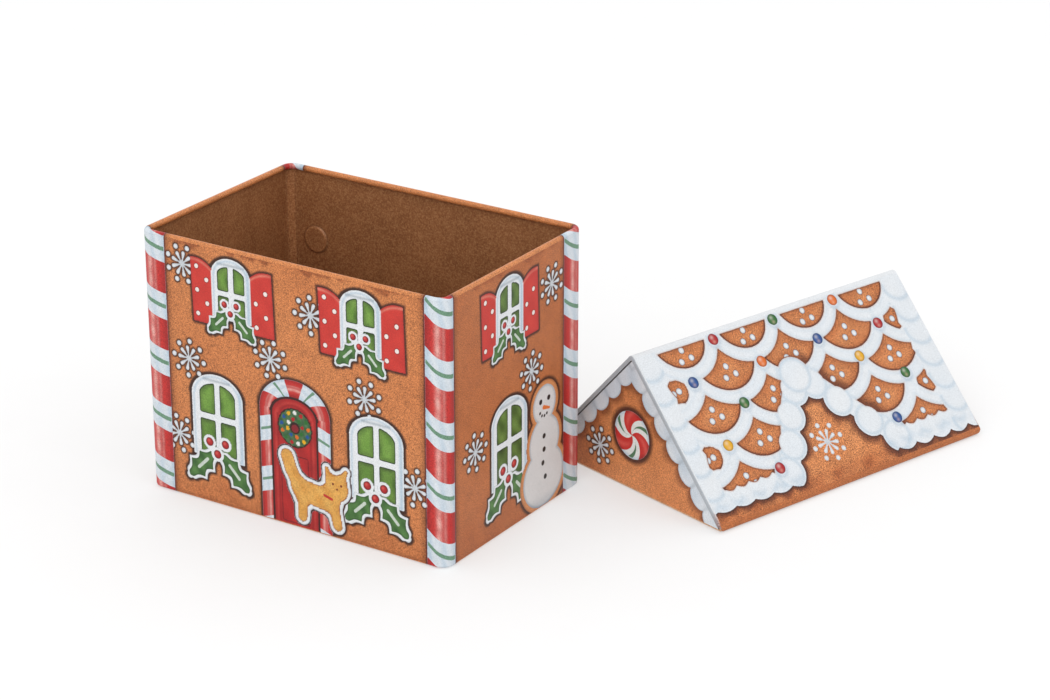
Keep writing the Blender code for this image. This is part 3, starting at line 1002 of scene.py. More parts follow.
def wreath(board: Artboard, centre: Spot, radius: float = 6.0) -> None:
    """Leafy ring set with two rows of fruit drops round a dark heart.

    Args:
        board: the artboard.
        centre: its middle.
        radius: from there to the middle of the ring.
    """
    u, v = board.u, board.v
    bearing = np.arctan2(v - centre[1], u - centre[0])
    ring = np.abs(disc(u, v, centre, radius)) - 3.4 + 0.5 * wave(bearing, 0.35)
    board.paint(Layer.ACCENT, disc(u, v, centre, radius + 3.8), (54, 28, 24))
    board.paint(Layer.TOP, ring, blend((40, 80, 48), (88, 124, 82), 0.5 + 0.5 * drift(u, v, 0.9, 2.0)))
    shades = list(CANDIES.values()) + [(236, 236, 232)]
    for count, reach, first in ((8, radius - 1.7, 1), (13, radius + 1.6, 3)):
        for step in range(count):
            angle = 2 * math.pi * step / count + first
            spot = (centre[0] + reach * math.cos(angle), centre[1] + reach * math.sin(angle))
            board.paint(Layer.TOP, disc(u, v, spot, 1.0), shades[(step * 5 + first) % len(shades)])
    board.paint(Layer.TOP, disc(u, v, (centre[0], centre[1] - 0.3), 2.0), (134, 34, 40))


def cookie_animal(board: Artboard, centre: float) -> None:
    """Plain long-tailed cookie animal, golden with a piped edge: strokes for tail, body and legs.

    Args:
        board: the artboard.
        centre: the door's middle line.
    """
    u, v = board.u, board.v
    x = centre - 2.0
    parts = [path(u, v, [(x - 3.0, 35.0), (x - 1.0, 29.0), (x + 3.0, 22.0)], 3.4),
             stroke(u, v, (x + 5.0, 20.0), (x + 19.0, 18.0), 5.4),
             disc(u, v, (x + 25.0, 26.0), 5.7),
             stroke(u, v, (x + 20.0, 20.0), (x + 25.0, 25.0), 5.0),
             stroke(u, v, (x + 20.8, 30.0), (x + 19.4, 34.2), 1.8, 0.8),
             stroke(u, v, (x + 28.0, 30.5), (x + 30.2, 34.6), 1.8, 0.8),
             stroke(u, v, (x + 5.5, 18.0), (x + 5.0, 6.5), 2.9, 2.4),
             stroke(u, v, (x + 22.5, 18.0), (x + 25.0, 6.5), 2.9, 2.4)]
    body = parts[0]
    for part in parts[1:]:
        near = np.clip(0.5 + (part - body) / 3.0, 0.0, 1.0)
        body = part + (body - part) * near - 3.0 * near * (1.0 - near)
    board.outline(body - 1.9, 0.5, soft=1.3)
    board.paint(Layer.SHAPE, body - 2.6, (74, 36, 26))
    board.paint(Layer.DETAIL, body - 1.9, blend(ICING, ICING_GREY, 0.5 * ease(1.1, 1.9, body)))
    board.paint(Layer.DETAIL, body - 0.35, (150, 84, 36))
    tone = blend(COOKIE_GOLD, (190, 112, 40), 0.7 * ease(-1.8, -0.1, body))
    tone = blend(tone, (240, 190, 104), 0.4 + 0.3 * drift(u, v, 2.1, 1.0))
    board.paint(Layer.ACCENT, body, tone, grain=0.6)
    face = [disc(u, v, (x + 22.8, 27.2), 0.65), disc(u, v, (x + 27.4, 27.2), 0.65),
            disc(u, v, (x + 25.1, 24.9), 0.55)]
    board.paint(Layer.TOP, np.minimum.reduce(face), (120, 46, 30))
    board.paint(Layer.TOP, stroke(u, v, (x + 17.8, 20.3), (x + 22.0, 19.2), 0.7), (196, 52, 46))


def snowman(board: Artboard, centre: float) -> None:
    """Plain iced snowman: two discs on a wide oval with a cookie rim, with coal drops and a carrot nose.

    Args:
        board: the artboard.
        centre: where its middle line stands.
    """
    u, v = board.u, board.v
    skirt = np.hypot((u - centre + 0.8) / 1.12, v - 15.8) - 15.4
    body = np.minimum.reduce([disc(u, v, (centre, 52.0), 9.7), disc(u, v, (centre, 33.4), 12.9), skirt])
    board.outline(body - 2.4, 0.5, soft=2.0)
    rim = blend((212, 140, 88), (146, 82, 48), 0.8 * ease(1.2, 2.6, body))
    board.paint(Layer.SHAPE, body - 2.4, rim, grain=0.6)
    icing = blend((222, 219, 218), ICING_GREY, 0.6 * ease(-1.8, -0.1, body) + 0.35 * ease(8.0, 1.0, v))
    board.paint(Layer.DETAIL, body, icing)
    coal = [(centre - 3.2, 54.0), (centre + 3.7, 54.2), (centre - 0.2, 36.0), (centre - 0.2, 29.2),
            (centre - 1.2, 22.6), (centre + 0.9, 15.0)]
    drops = [disc(u, v, spot, 1.35) for spot in coal]
    smile = [disc(u, v, (centre + 4.8 * math.sin(turn), 52.2 - 6.0 * math.cos(turn)), 0.8)
             for turn in (-0.9, -0.45, 0.0, 0.45)]
    board.paint(Layer.ACCENT, np.minimum.reduce(drops + smile), (44, 38, 36))
    nose = stroke(u, v, (centre - 0.6, 50.6), (centre + 4.2, 48.9), 1.1, 0.6)
    board.paint(Layer.ACCENT, nose, (226, 120, 58))


def icing_drop(board: Artboard, drop: Array) -> None:
    """Lay an icing drop on a browned ring of its own.

    Args:
        board: the artboard.
        drop: signed distance to the drop.
    """
    board.paint(Layer.DETAIL, drop - 0.35, (150, 88, 60))
    board.paint(Layer.ACCENT, drop, blend(ICING, ICING_GREY, 0.6 * ease(-0.8, -0.1, drop)))


def candy(board: Artboard, spot: Spot, ink: Steps, radius: float = 2.95) -> None:
    """Glossy candy drop with a glint at its upper side, a warm glow at its lower one, and a soft shade.

    Args:
        board: the artboard.
        spot: its middle.
        ink: its colour.
        radius: its radius.
    """
    u, s = board.u, board.v
    drop = disc(u, s, spot, radius)
    board.wash(0.35 * bump_at(disc(u, s, (spot[0], spot[1] + 0.9), 3.0), 0.3, 1.1), (150, 176, 200))
    tone = blend(ink, (30, 24, 40), 0.5 * ease(-1.1, 0.0, drop))
    glint = bump_at(np.hypot(u - spot[0] + 0.4, s - spot[1] + 1.1), 0.0, 1.0)
    tone = blend(tone, (250, 240, 232), 0.45 * glint)
    warm = bump_at(np.hypot(u - spot[0], s - spot[1] - 1.3), 0.0, 0.9)
    board.paint(Layer.ACCENT, drop, blend(tone, (255, 214, 190), 0.35 * warm), grain=0.1)


# ---------------------------------------------------------------------------------------------------
# Box
# ---------------------------------------------------------------------------------------------------

def gingerbread(board: Artboard, rim: float) -> None:
    """Baked ground: slow pale patches, darker toward the foot and in blotches under the rim.

    Args:
        board: the artboard.
        rim: height of the rim.
    """
    u, v = board.u, board.v
    board.wash(0.30 + 0.18 * drift(u, v, 17.0, 1.3), GINGERBREAD_PALE)
    board.wash(0.16 + 0.12 * drift(u, v, 9.0, 4.1), GINGERBREAD_DARK)
    board.wash((0.34 + 0.22 * drift(u, v, 5.0, 3.0)) * ease(30.0, 0.0, v), GINGERBREAD_DARK)
    depth = 3.0 + 2.4 * drift(u, v * 0.3, 6.0, 2.0) + 1.4 * drift(u, v, 1.7, 5.0)
    blotch = blend(GINGERBREAD_DARK, CRUST, np.full_like(u, 0.45))
    board.wash(0.75 * ease(rim - depth, rim - depth + 2.2, v), blotch)
    board.wash(0.5 * ease(3.0, 0.0, v), CRUST)


@dataclass(frozen=True)
class Places:
    """Places round the wall, as one value each: its quadrant, counted anticlockwise from +X+Y, its angle
    round the quadrant's corner, and its share of the flat run that follows."""

    quadrant: Array
    angle: Array
    share: Array


@dataclass
class TinBox:
    """The open box: one folded wall with curled rim and lapped seam, its print, and the stamped bottom."""

    sheet: float = 0.3
    corner_radius: float = 6.0
    curl_diameter: float = 2.9
    curl_turn: float = math.radians(290.0)
    foot_radius: float = 0.8
    hem_width: float = 4.0
    hem_return: float = 2.6
    gap: float = 0.3
    smallest_corner: float = 0.8
    lap_height: float = 0.35
    lap_reach: Span = (math.radians(22.5), math.radians(67.5))
    boss_radius: float = 7.0
    boss_height: float = 0.8
    boss_from_corner: float = 15.5
    boss_below_rim: float = 37.8
    boss_margin: float = 9.0            # how far the sheet's fine rows go above and below its middle
    fine: float = 0.45                  # spacing of the sheet's places near the corners and the boss
    fine_reach: float = 20.0            # how far from a corner they stay that close
    proud: float = 0.06                 # how far the print stands off the sheet
    grid: float = 0.5                   # spacing of the print's places
    rear_coarser: float = 1.45          # how much wider it is on the rear print, whose back is a grid too

    def __post_init__(self) -> None:
        """Take the box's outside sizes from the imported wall, in millimetres."""
        low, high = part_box("body_wall")
        self.length = (high[0] - low[0]) / MM
        self.width = (high[1] - low[1]) / MM
        self.height = (high[2] - low[2]) / MM
        self.half_arc = self.corner_radius * math.pi / 4
        self.corners = [Corner(8.9, 6.0, 7.5, 107.2), Corner(15.7, 1.5, 8.0, 105.2),
                        Corner(8.9, 6.0, 7.5, 107.2), Corner(2.2, 13.2, 5.0, 108.2, 28.5)]

    def half_face(self, side: Side) -> float:
        """From the middle of a side to the middle line of its corner, along the sheet."""
        span = self.length if side in (Side.FRONT, Side.REAR) else self.width
        return span / 2 - self.corner_radius + self.half_arc

    def on_side(self, side: Side, along: Array, up: Array, out: float) -> Array:
        """Place points on a side: flat in the middle, an eighth turn round the corner at each end.

        Args:
            side: which side.
            along: millimetres right of its middle, seen from outside.
            up: height.
            out: distance proud of the outer face.

        Returns:
            The points, in millimetres.
        """
        span = self.length if side in (Side.FRONT, Side.REAR) else self.width
        deep = self.width if side in (Side.FRONT, Side.REAR) else self.length
        flat = span / 2 - self.corner_radius
        turn = np.maximum(np.abs(along) - flat, 0.0) / self.corner_radius
        radius = self.corner_radius + out
        right = np.sign(along) * (np.minimum(np.abs(along), flat) + radius * np.sin(turn))
        off = deep / 2 - self.corner_radius + radius * np.cos(turn)
        if side is Side.REAR:
            off = off - self.boss_dip(-right, up)
        turned = side.value * math.pi / 2
        cos, sin = round(math.cos(turned)), round(math.sin(turned))
        x = right * cos + off * sin
        y = right * sin - off * cos
        return np.stack([x, y, up], axis=-1)

    def boss_reach(self, x: Array, z: Array) -> Array:
        """Distance from the middle of the boss on the rear wall."""
        middle = (-self.length / 2 + self.boss_from_corner, self.height - self.boss_below_rim)
        return np.hypot(x - middle[0], z - middle[1])

    def boss_dip(self, x: Array, z: Array) -> Array:
        """How far the rear wall is pressed in: full inside the boss, easing out over its flank."""
        return self.boss_height * ease(self.boss_radius, self.boss_radius - 0.8, self.boss_reach(x, z))

    def wall_profile(self) -> tuple[Array, Array]:
        """Sheet's middle line in (distance past the outer face, height), from the hem's tip to the curl.

        Returns:
            Points of the middle line, and the unit normals on its inner side.
        """
        layer = self.sheet + self.gap
        fold = layer / 2 + self.sheet / 2
        start = (-self.hem_width + fold + self.hem_return, self.sheet / 2 + layer)
        curl = self.curl_diameter / 2 - self.sheet / 2
        foot = self.foot_radius - self.sheet / 2
        rise = self.height - self.foot_radius - self.curl_diameter / 2
        low_run = self.height - self.boss_below_rim - self.boss_margin - self.foot_radius
        boss_run = 2 * self.boss_margin
        step = math.radians(10.0)
        below = [(self.hem_return, 0.0), (layer / 2, math.pi),
                 (self.hem_width - fold - self.foot_radius, 0.0), (foot, math.pi / 2), (low_run, 0.0)]
        above = [(rise - low_run - boss_run, 0.0), (curl, self.curl_turn)]
        points, normals = folded_profile(start, math.pi, below, step)
        for moves, run_step in (([(boss_run, 0.0)], self.fine), (above, 9.0)):
            more, more_normals = folded_profile(tuple(points[-1]), math.pi / 2, moves, step, run_step)
            points = np.concatenate([points, more[1:]])
            normals = np.concatenate([normals, more_normals[1:]])
        return points, normals

    def wall_places(self) -> Places:
        """Places round the wall, close together at the corners and beside them.

        Returns:
            The places, in order round the wall.
        """
        places: list[tuple[int, float, float]] = []
        arc_steps = 22
        for quadrant in range(4):
            places += [(quadrant, math.pi / 2 * k / arc_steps, 0.0) for k in range(arc_steps + 1)]
            flat = (self.length if quadrant in (0, 2) else self.width) - 2 * self.corner_radius
            near = np.arange(self.fine, self.fine_reach, self.fine)
            middle = np.linspace(self.fine_reach, flat - self.fine_reach, 30)
            shares = np.concatenate([near, middle, flat - near[::-1]]) / flat
            places += [(quadrant, math.pi / 2, float(share)) for share in shares]
        return Places(*(np.array(values) for values in zip(*places)))

    def corner_point(self, inset: Array, quadrant: Array, turn: Array) -> Array:
        """Points (profile, place, 2) at an angle round a quadrant's corner, for each inset.

        Args:
            inset: how far each profile point lies inside the outline.
            quadrant: the quadrant of each place.
            turn: its angle round the corner, from 0 to a quarter turn.

        Returns:
            Points in millimetres.
        """
        radius = np.maximum(self.corner_radius - inset, self.smallest_corner)[:, None]
        side_x = np.where((quadrant == 0) | (quadrant == 3), 1.0, -1.0)
        side_y = np.where((quadrant == 0) | (quadrant == 1), 1.0, -1.0)
        bearing = quadrant * math.pi / 2 + turn
        x = side_x * (self.length / 2 - inset[:, None] - radius) + radius * np.cos(bearing)
        y = side_y * (self.width / 2 - inset[:, None] - radius) + radius * np.sin(bearing)
        return np.stack([x, y], axis=-1)

    def ring(self, inset: Array, places: Places) -> Array:
        """Box's rounded outline drawn in by each inset: a corner's arc, then a straight run to the next.

        Args:
            inset: how far each profile point lies inside the outline.
            places: the places round the wall.

        Returns:
            Points (profile, place, 2) in millimetres.
        """
        here = self.corner_point(inset, places.quadrant, places.angle)
        after = self.corner_point(inset, (places.quadrant + 1) % 4, np.zeros_like(places.angle))
        return here + (after - here) * places.share[None, :, None]

    def build_shell(self, prints: bpy.types.Material, lacquer: bpy.types.Material) -> bpy.types.Object:
        """Sweep the folded profile round the box: printed outside and over the rim, lacquered inside.

        Args:
            prints: finish of the outside.
            lacquer: finish of the inside.

        Returns:
            The piece.
        """
        middle, normals = self.wall_profile()
        half = self.sheet / 2
        outer = middle - normals * half
        inner = middle + normals * half
        places = self.wall_places()
        lapped = places.quadrant == 1
        lapped &= (places.angle > self.lap_reach[0]) & (places.angle < self.lap_reach[1])
        on_wall = (np.abs(inner[:, 0] + self.sheet) < 1e-6) & (inner[:, 1] > 6.0)
        on_wall &= inner[:, 1] < self.height - self.curl_diameter - 0.8
        section = np.concatenate([outer, inner[::-1]])
        wall_row = np.concatenate([np.zeros(len(outer), dtype=bool), on_wall[::-1]])
        inset = -section[:, 0]
        plan = self.ring(inset, places)
        lap_inset = inset + self.lap_height * wall_row
        plan = np.where((lapped[None, :] & wall_row[:, None])[..., None], self.ring(lap_inset, places), plan)
        up = np.broadcast_to(section[:, 1][:, None], plan.shape[:2])
        rear = np.abs(plan[..., 1] - (self.width / 2 - inset[:, None])) < 0.02
        straight = (up > 10.0) & (up < self.height - 5.0) & rear
        plan[..., 1] -= np.where(straight, self.boss_dip(plan[..., 0], up), 0.0)
        rows, count = plan.shape[:2]
        points = np.concatenate([plan, up[..., None]], axis=-1).transpose(1, 0, 2).reshape(-1, 3)
        quads = grid_quads(count, rows, True, True)
        kinds = np.broadcast_to((np.arange(rows) >= len(outer) - 1)[None, :], (count, rows)).reshape(-1)
        piece = new_piece("wall_shell", points * MM, quads.tolist(), [prints, lacquer], kinds)
        self.paint_shell(piece.data, section, len(outer), places)
        self.shade_shell(piece.data, points, places)
        return piece

    def paint_shell(self, mesh: bpy.types.Mesh, section: Array, printed: int, places: Places) -> None:
        """Carry the gingerbread ground and the striped columns over the curled rim and under the foot, with
        painted light paling the ground toward the rim.

        Args:
            mesh: the shell's mesh.
            section: the closed profile as (distance past the outer face, height).
            printed: how many of its points lie on the outside.
            places: the places round the wall.
        """
        gaps = np.hypot(*(np.diff(section[:printed], axis=0).T))
        run = np.concatenate([[0.0], np.cumsum(gaps)])
        level = int(np.argmin(np.abs(section[:printed, 1] - self.height / 2)))
        height = section[level, 1] + run - run[level]
        height = np.concatenate([height, np.zeros(len(section) - printed)])
        even = places.quadrant % 2 == 0
        flat = np.where(even, self.length, self.width) - 2 * self.corner_radius
        past = places.angle * self.corner_radius - self.half_arc + places.share * flat
        nearer_next = places.share > 0.5
        from_corner = np.where(nearer_next, -(self.half_arc + (1.0 - places.share) * flat), past)
        corner = np.where(nearer_next, (places.quadrant + 1) % 4, places.quadrant)
        across, up = np.meshgrid(from_corner, height, indexing="ij")
        board = Artboard(across, up, GINGERBREAD, 1.0)
        # painted light: the ground is washed paler over its top 6 mm and round the curl, where the rim catches
        # the light
        board.wash(0.35 * ease(self.height - 6.0, self.height, board.v), GINGERBREAD_PALE)
        number = np.repeat(corner, len(section))
        for index, style in enumerate([self.corners[1], self.corners[2], self.corners[3], self.corners[0]]):
            here = np.where(number == index, board.u, FAR)
            column(board, here, board.v, style)
        board.store(mesh)

    def shade_shell(self, mesh: bpy.types.Mesh, points: Array, places: Places) -> None:
        """Paint shade into the lacquer along the lap's edge lines and round the foot of the boss's flank;
        painted light makes the lap and the boss's crest paler.

        Args:
            mesh: the shell's mesh.
            points: its vertices in millimetres.
            places: the places round the wall.
        """
        turn = places.angle
        seam_corner = places.quadrant == 1
        low, high = self.lap_reach
        lap = np.minimum(np.abs(turn - low), np.abs(turn - high)) * self.corner_radius
        # painted shade: dark lines along the lap's edges; painted light: the lap between them is paler
        line = 0.75 * (lap < 0.14) * seam_corner * (turn > low - 0.05)
        line = line - 0.22 * seam_corner * (turn > low + 0.05) * (turn < high - 0.05)
        x, y, z = points.T
        reach = self.boss_reach(x, z)
        rear = (y > self.width / 2 - 2.0) & (reach < 12.0)
        shadow = np.repeat(line, len(points) // len(turn))
        # painted shade round the foot of the boss's flank, painted light on its crest
        shadow += 0.34 * rear * bump_at(reach, self.boss_radius + 0.1, 0.45)
        shadow -= 0.16 * rear * bump_at(reach, self.boss_radius - 1.2, 0.5)
        write_layer(mesh, "shadow", shadow, 0.0)

    def build_print(self, side: Side, material: bpy.types.Material) -> bpy.types.Object:
        """Thin printed skin over one side, from corner middle to corner middle, with its artwork.

        Args:
            side: which side.
            material: the print.

        Returns:
            The piece.
        """
        half = self.half_face(side)
        low = self.foot_radius + 0.02
        high = self.height - self.curl_diameter / 2 - 0.02
        whole_back = side is Side.REAR
        grid = self.grid * (self.rear_coarser if whole_back else 1.0)
        along = np.linspace(-half, half, round(2 * half / grid) + 1)
        up = np.linspace(low, high, round((high - low) / grid) + 1)
        across, rise = np.meshgrid(along, up, indexing="ij")
        face = self.on_side(side, across, rise, self.proud)
        back = self.on_side(side, across, rise, -self.proud / 3)
        points, faces = thin_sheet(face, back, whole_back)
        piece = new_piece(f"{side.name.lower()}_print", points * MM, faces, [material])
        board = Artboard(across, rise, GINGERBREAD, 1.0)
        self.compose(board, side, half)
        board.store(piece.data)
        return piece

    def compose(self, board: Artboard, side: Side, half: float) -> None:
        """Lay out one side's artwork: long sides have the door, short sides the snowman.

        Args:
            board: the artboard.
            side: which side.
            half: from its middle to the middle line of its corner.
        """
        gingerbread(board, self.height)
        if side in (Side.FRONT, Side.REAR):
            self.compose_long(board)
        else:
            self.compose_short(board)
        column(board, board.u + half, board.v, self.corners[(side.value - 1) % 4])
        column(board, board.u - half, board.v, self.corners[side.value])

    def compose_long(self, board: Artboard) -> None:
        """Two shuttered windows over two plain ones, the door between them, and scattered snowflakes.

        Args:
            board: the artboard.
        """
        for number, spot in enumerate([(-60.2, 117.5), (-58.5, 71.0), (-66.0, 31.5), (-11.0, 81.0),
                                       (12.5, 107.5), (41.5, 73.5), (68.5, 36.5)]):
            snowflake(board, spot, turn=0.3 * number)
        for centre in (-32.2, 40.2):
            shutters(board, centre, HIGH_WINDOW)
            window(board, centre, HIGH_WINDOW)
        for centre in (-42.8, 47.6):
            window(board, centre, LOW_WINDOW)
        door(board, 2.0)

    def compose_short(self, board: Artboard) -> None:
        """One shuttered window over a plain one, with a snowman beside it; painted shade darkens the whole
        side and its panes.

        Args:
            board: the artboard.
        """
        # painted shade: the short sides' ground is darkened all over, and their panes take the darker shady
        # ink
        board.wash(np.full_like(board.u, 0.55), GINGERBREAD_DARK)
        for number, spot in enumerate([(30.0, 110.0), (13.0, 72.5), (-33.5, 49.0)]):
            snowflake(board, spot, turn=0.25 * number)
        shutters(board, -5.2, HIGH_WINDOW)
        window(board, -5.2, HIGH_WINDOW, PANE_SHADY)
        window(board, -5.6, LOW_WINDOW, PANE_SHADY)
        snowman(board, 24.0)

    def build(self) -> list[bpy.types.Object]:
        """Make every piece of the box, hang each on the box's body and dress the bottom.

        Returns:
            The new pieces.
        """
        prints = WALL_PRINT.make()
        lacquer = INSIDE_LACQUER.make()
        shell = self.build_shell(prints, lacquer)
        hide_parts("body_wall")
        pieces = [shell] + [self.build_print(side, prints) for side in Side]
        for piece in pieces:
            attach(piece, "box")
            LOG.info("%s: %d faces", piece.name, len(piece.data.polygons))
        dress("bottom_panel", lacquer)
        return pieces


# ---------------------------------------------------------------------------------------------------
# Lid
# ---------------------------------------------------------------------------------------------------

@dataclass
class RoofLid:
    """The roof lid: one bent sheet with its printed slopes, and a gable panel with its print at each end."""

    yaw: float = math.radians(73.0)
    sheet: float = 0.3
    gap: float = 0.3
    half_length: float = 88.5
    half_width: float = 63.0
    height: float = 68.5
    skirt: float = 3.0
    foot_radius: float = 1.2
    hem: float = 3.0
    band_depth: float = 2.2
    band_radius: float = 0.8
    corner_radius: float = 3.0
    band_start: float = 0.7
    fold_radius: float = 2.4
    ridge_radius: float = 2.6
    gable_inset: float = 0.6
    gable_bend: float = 0.8
    proud: float = 0.06
    grid: float = 0.5
    tile_pitch: float = 40.0
    row_pitch: float = 17.6
    tile_radius: float = 18.6
    art_drop: float = 0.3               # how far the artwork sits below the ridge
    piping: float = 7.0                # width of the icing between one row of tiles and the next

    def __post_init__(self) -> None:
        """Take the lid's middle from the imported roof, and solve the pitch for the rounded ridge's height."""
        low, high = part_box("roof_sheet")
        self.middle = np.array([(low[0] + high[0]) / 2, (low[1] + high[1]) / 2, 0.0]) / MM
        pitch = math.atan2(self.height - self.skirt, self.half_width)
        for _ in range(40):
            rounded = self.ridge_radius * (1.0 / math.cos(pitch) - 1.0)
            pitch = math.atan2(self.height + rounded - self.skirt, self.half_width)
        self.pitch = pitch
        self.apex = self.skirt + self.half_width * math.tan(pitch)
        self.fold_tangent = self.fold_radius * math.tan((math.pi / 2 - pitch) / 2)
        self.ridge_tangent = self.ridge_radius * math.tan(pitch)
        self.slope = self.half_width / math.cos(pitch)

    def place(self, along: Array, aside: Array, up: Array) -> Array:
        """Turn lid coordinates (along the ridge, left of it, up) into points in the shared frame.

        Args:
            along: millimetres along the ridge from its middle.
            aside: millimetres to its left.
            up: height.

        Returns:
            Points in millimetres.
        """
        cos, sin = math.cos(self.yaw), math.sin(self.yaw)
        along, aside, up = np.broadcast_arrays(along, aside, up)
        x = self.middle[0] + along * cos - aside * sin
        y = self.middle[1] + along * sin + aside * cos
        return np.stack([x, y, up], axis=-1)

    def roof_edge(self, half_length: Array, outer: Array, depth: Array) -> tuple[Array, Array]:
        """Cross-channel of the sheet per station: from its inner face round the turned edge to its outer.

        Args:
            half_length: from the lid's middle to its edge, per station.
            outer: outer radius of the turned edge, per station.
            depth: how deep its raw edge reaches, per station.

        Returns:
            Along-ridge and depth coordinates (stations, section) of the right half.
        """
        angle = np.linspace(0.0, math.pi / 2, 7)
        inner = (outer - self.sheet)[:, None]
        middle = (half_length - outer)[:, None]
        wide = outer[:, None]
        inside = middle + np.sin(angle) * inner, wide - np.cos(angle) * inner
        outside = middle + np.sin(angle[::-1]) * wide, wide - np.cos(angle[::-1]) * wide
        tips = np.stack([half_length - self.sheet, half_length], axis=-1)
        return (np.concatenate([inside[0], tips, outside[0]], axis=-1),
                np.concatenate([inside[1], np.repeat(depth[:, None], 2, axis=1), outside[1]], axis=-1))

    def build_shell(self, prints: bpy.types.Material, lacquer: bpy.types.Material) -> bpy.types.Object:
        """Bend the roof: hem, skirt, eave fold, slope and ridge, its ends turned down over the gables.

        Args:
            prints: finish of the outside.
            lacquer: finish of the inside.

        Returns:
            The piece.
        """
        slope_run = self.slope - self.fold_tangent - self.ridge_tangent
        turn = math.pi / 2 - self.pitch
        skirt_run = self.skirt - self.foot_radius - self.fold_tangent
        half = [(self.hem - self.foot_radius, 0.0), (self.foot_radius, math.pi / 2), (skirt_run, 0.0),
                (self.fold_radius, turn), (slope_run, 0.0)]
        moves = half + [(self.ridge_radius, 2 * self.pitch)] + half[::-1]
        start = (self.half_width - self.hem, 0.0)
        points, normals = folded_profile(start, 0.0, moves, math.radians(7.0), 8.0)
        lifted = np.clip(points[:, 1] / self.corner_radius, 0.0, 1.0)
        cut_back = self.corner_radius * (1.0 - np.sqrt(1.0 - (1.0 - lifted) ** 2))
        turned = np.clip((lifted - self.band_start) / (1.0 - self.band_start), 0.0, 1.0)
        raw_radius = self.sheet + 0.05
        raw_depth = self.sheet + 0.08
        radius = raw_radius + (self.band_radius - raw_radius) * turned
        depth = raw_depth + (self.band_depth - raw_depth) * turned
        along, deep = self.roof_edge(self.half_length - cut_back, radius, depth)
        inner_count = 8
        fill = np.linspace(-1.0, 1.0, 9)[1:-1]
        top = along[:, -1:] * fill[None, :]
        section_along = np.concatenate([along, top[:, ::-1], -along[:, ::-1]], axis=1)
        section_deep = np.concatenate([deep, np.zeros_like(top), deep[:, ::-1]], axis=1)
        aside = points[:, 0][:, None] + normals[:, 0][:, None] * section_deep
        up = points[:, 1][:, None] + normals[:, 1][:, None] * section_deep
        placed = self.place(section_along, -aside, up)
        stations, size = section_along.shape
        caps = [list(range(size)), list(range((stations - 1) * size, stations * size))[::-1]]
        faces = grid_quads(stations, size, False, True).tolist() + caps
        j = np.arange(size)[None, :]
        inside = (j < inner_count) | (j >= size - inner_count)
        kinds = np.concatenate([np.broadcast_to(inside, (stations - 1, size)).reshape(-1), [1, 1]])
        piece = new_piece("roof_shell", placed.reshape(-1, 3) * MM, faces, [prints, lacquer], kinds)
        heights = np.repeat(points[:, 1], size)
        board = Artboard(section_along, np.broadcast_to(up, section_along.shape), ICING, 0.2)
        board.wash(1.0 - ease(self.skirt + 1.2, self.skirt + 1.8, heights), GINGERBREAD)
        board.wash(0.5 * (heights < self.skirt + 1.5), GINGERBREAD_DARK)
        board.grain[heights < self.skirt + 1.5] = 1.0
        lip = np.abs(board.u) > self.half_length - 0.4
        board.wash(0.55 * lip, ICING_GREY)
        board.store(piece.data)
        return piece

    def build_slope(self, right_hand: bool, material: bpy.types.Material) -> bpy.types.Object:
        """Thin printed skin over one flat slope; places are (along, distance down from the ridge line).

        Args:
            right_hand: whether it is the slope on the right, looking along the ridge.
            material: the print.

        Returns:
            The piece.
        """
        facing = 1.0 if right_hand else -1.0
        reach = self.half_length - self.band_radius - 0.02
        near = self.ridge_tangent + 0.05
        far = self.slope - self.fold_tangent - 0.05
        along = np.linspace(-reach, reach, round(2 * reach / self.grid) + 1)
        down = np.linspace(far, near, round((far - near) / self.grid) + 1)
        across, s = np.meshgrid(along, down, indexing="ij")
        rounded = (self.apex - self.height) / math.sin(self.pitch)

        def skin(out: float) -> Array:
            """Slope's plane lifted by a distance.

            Args:
                out: the distance.

            Returns:
                Points in millimetres.
            """
            aside = s * math.cos(self.pitch) + out * math.sin(self.pitch)
            up = self.apex - s * math.sin(self.pitch) + out * math.cos(self.pitch)
            return self.place(across * facing, -aside * facing, up)

        points, faces = thin_sheet(skin(self.proud), skin(-self.proud / 3))
        name = "slope_print_right" if right_hand else "slope_print_left"
        piece = new_piece(name, points * MM, faces, [material])
        board = Artboard(across, s - rounded - self.art_drop, ICING, 0.25)
        self.compose_slope(board)
        board.store(piece.data)
        return piece

    def tile_rows(self) -> list[tuple[float, float, float, float]]:
        """Rows of tiles, each half a tile aside from the one above it.

        Returns:
            Per row: how far down its circles lie, their radius, the stagger, and its upper limit.
        """
        rows = [(-2.2, 15.7, 0.5, 2.4)]
        rows += [(12.2 + self.row_pitch * k, self.tile_radius, 0.5 * (k % 2), 0.0) for k in range(4)]
        return rows

    def dormer(self, u: Array, s: Array) -> tuple[Array, Array, Array]:
        """Distances of the dormer: its gingerbread field, its puffed icing band, and each puff's rim.

        Round puffs stand in two rows that meet at a peak.  They bite into the field from outside.

        Args:
            u, s: the places, along the ridge and down the slope.

        Returns:
            The three distances.
        """
        left = [(-9.8, 39.6), (-19.2, 51.2), (-26.8, 64.6), (-35.6, 77.2)]
        right = [(3.8, 39.6), (13.4, 51.8), (25.2, 66.2), (36.8, 78.0)]
        puffs = left + right
        bites = np.minimum.reduce([disc(u, s, puff, 8.9) for puff in puffs])
        outline = [(-3.2, 41.0), (9.0, 51.6), (21.0, 67.4), (34.0, 84.0), (40.0, 99.0), (-40.0, 99.0),
                   (-33.0, 84.0), (-21.0, 65.6), (-13.0, 49.8)]
        field = np.maximum(polygon(u, s, outline), -bites)
        chain = left[::-1] + right
        crown = disc(u, s, (-4.2, 33.4), 9.6)
        band = np.minimum.reduce([disc(u, s, puff, 6.9) for puff in puffs] + [path(u, s, chain, 5.6), crown])
        band = np.minimum(band, polygon(u, s, chain + [(44.0, 99.0), (-44.0, 99.0)]))
        rims = np.minimum.reduce([np.abs(disc(u, s, puff, 7.6)) for puff in puffs])
        rims = np.minimum(np.where(crown > -0.5, rims, FAR), np.abs(crown + 1.0))
        return field, band, rims

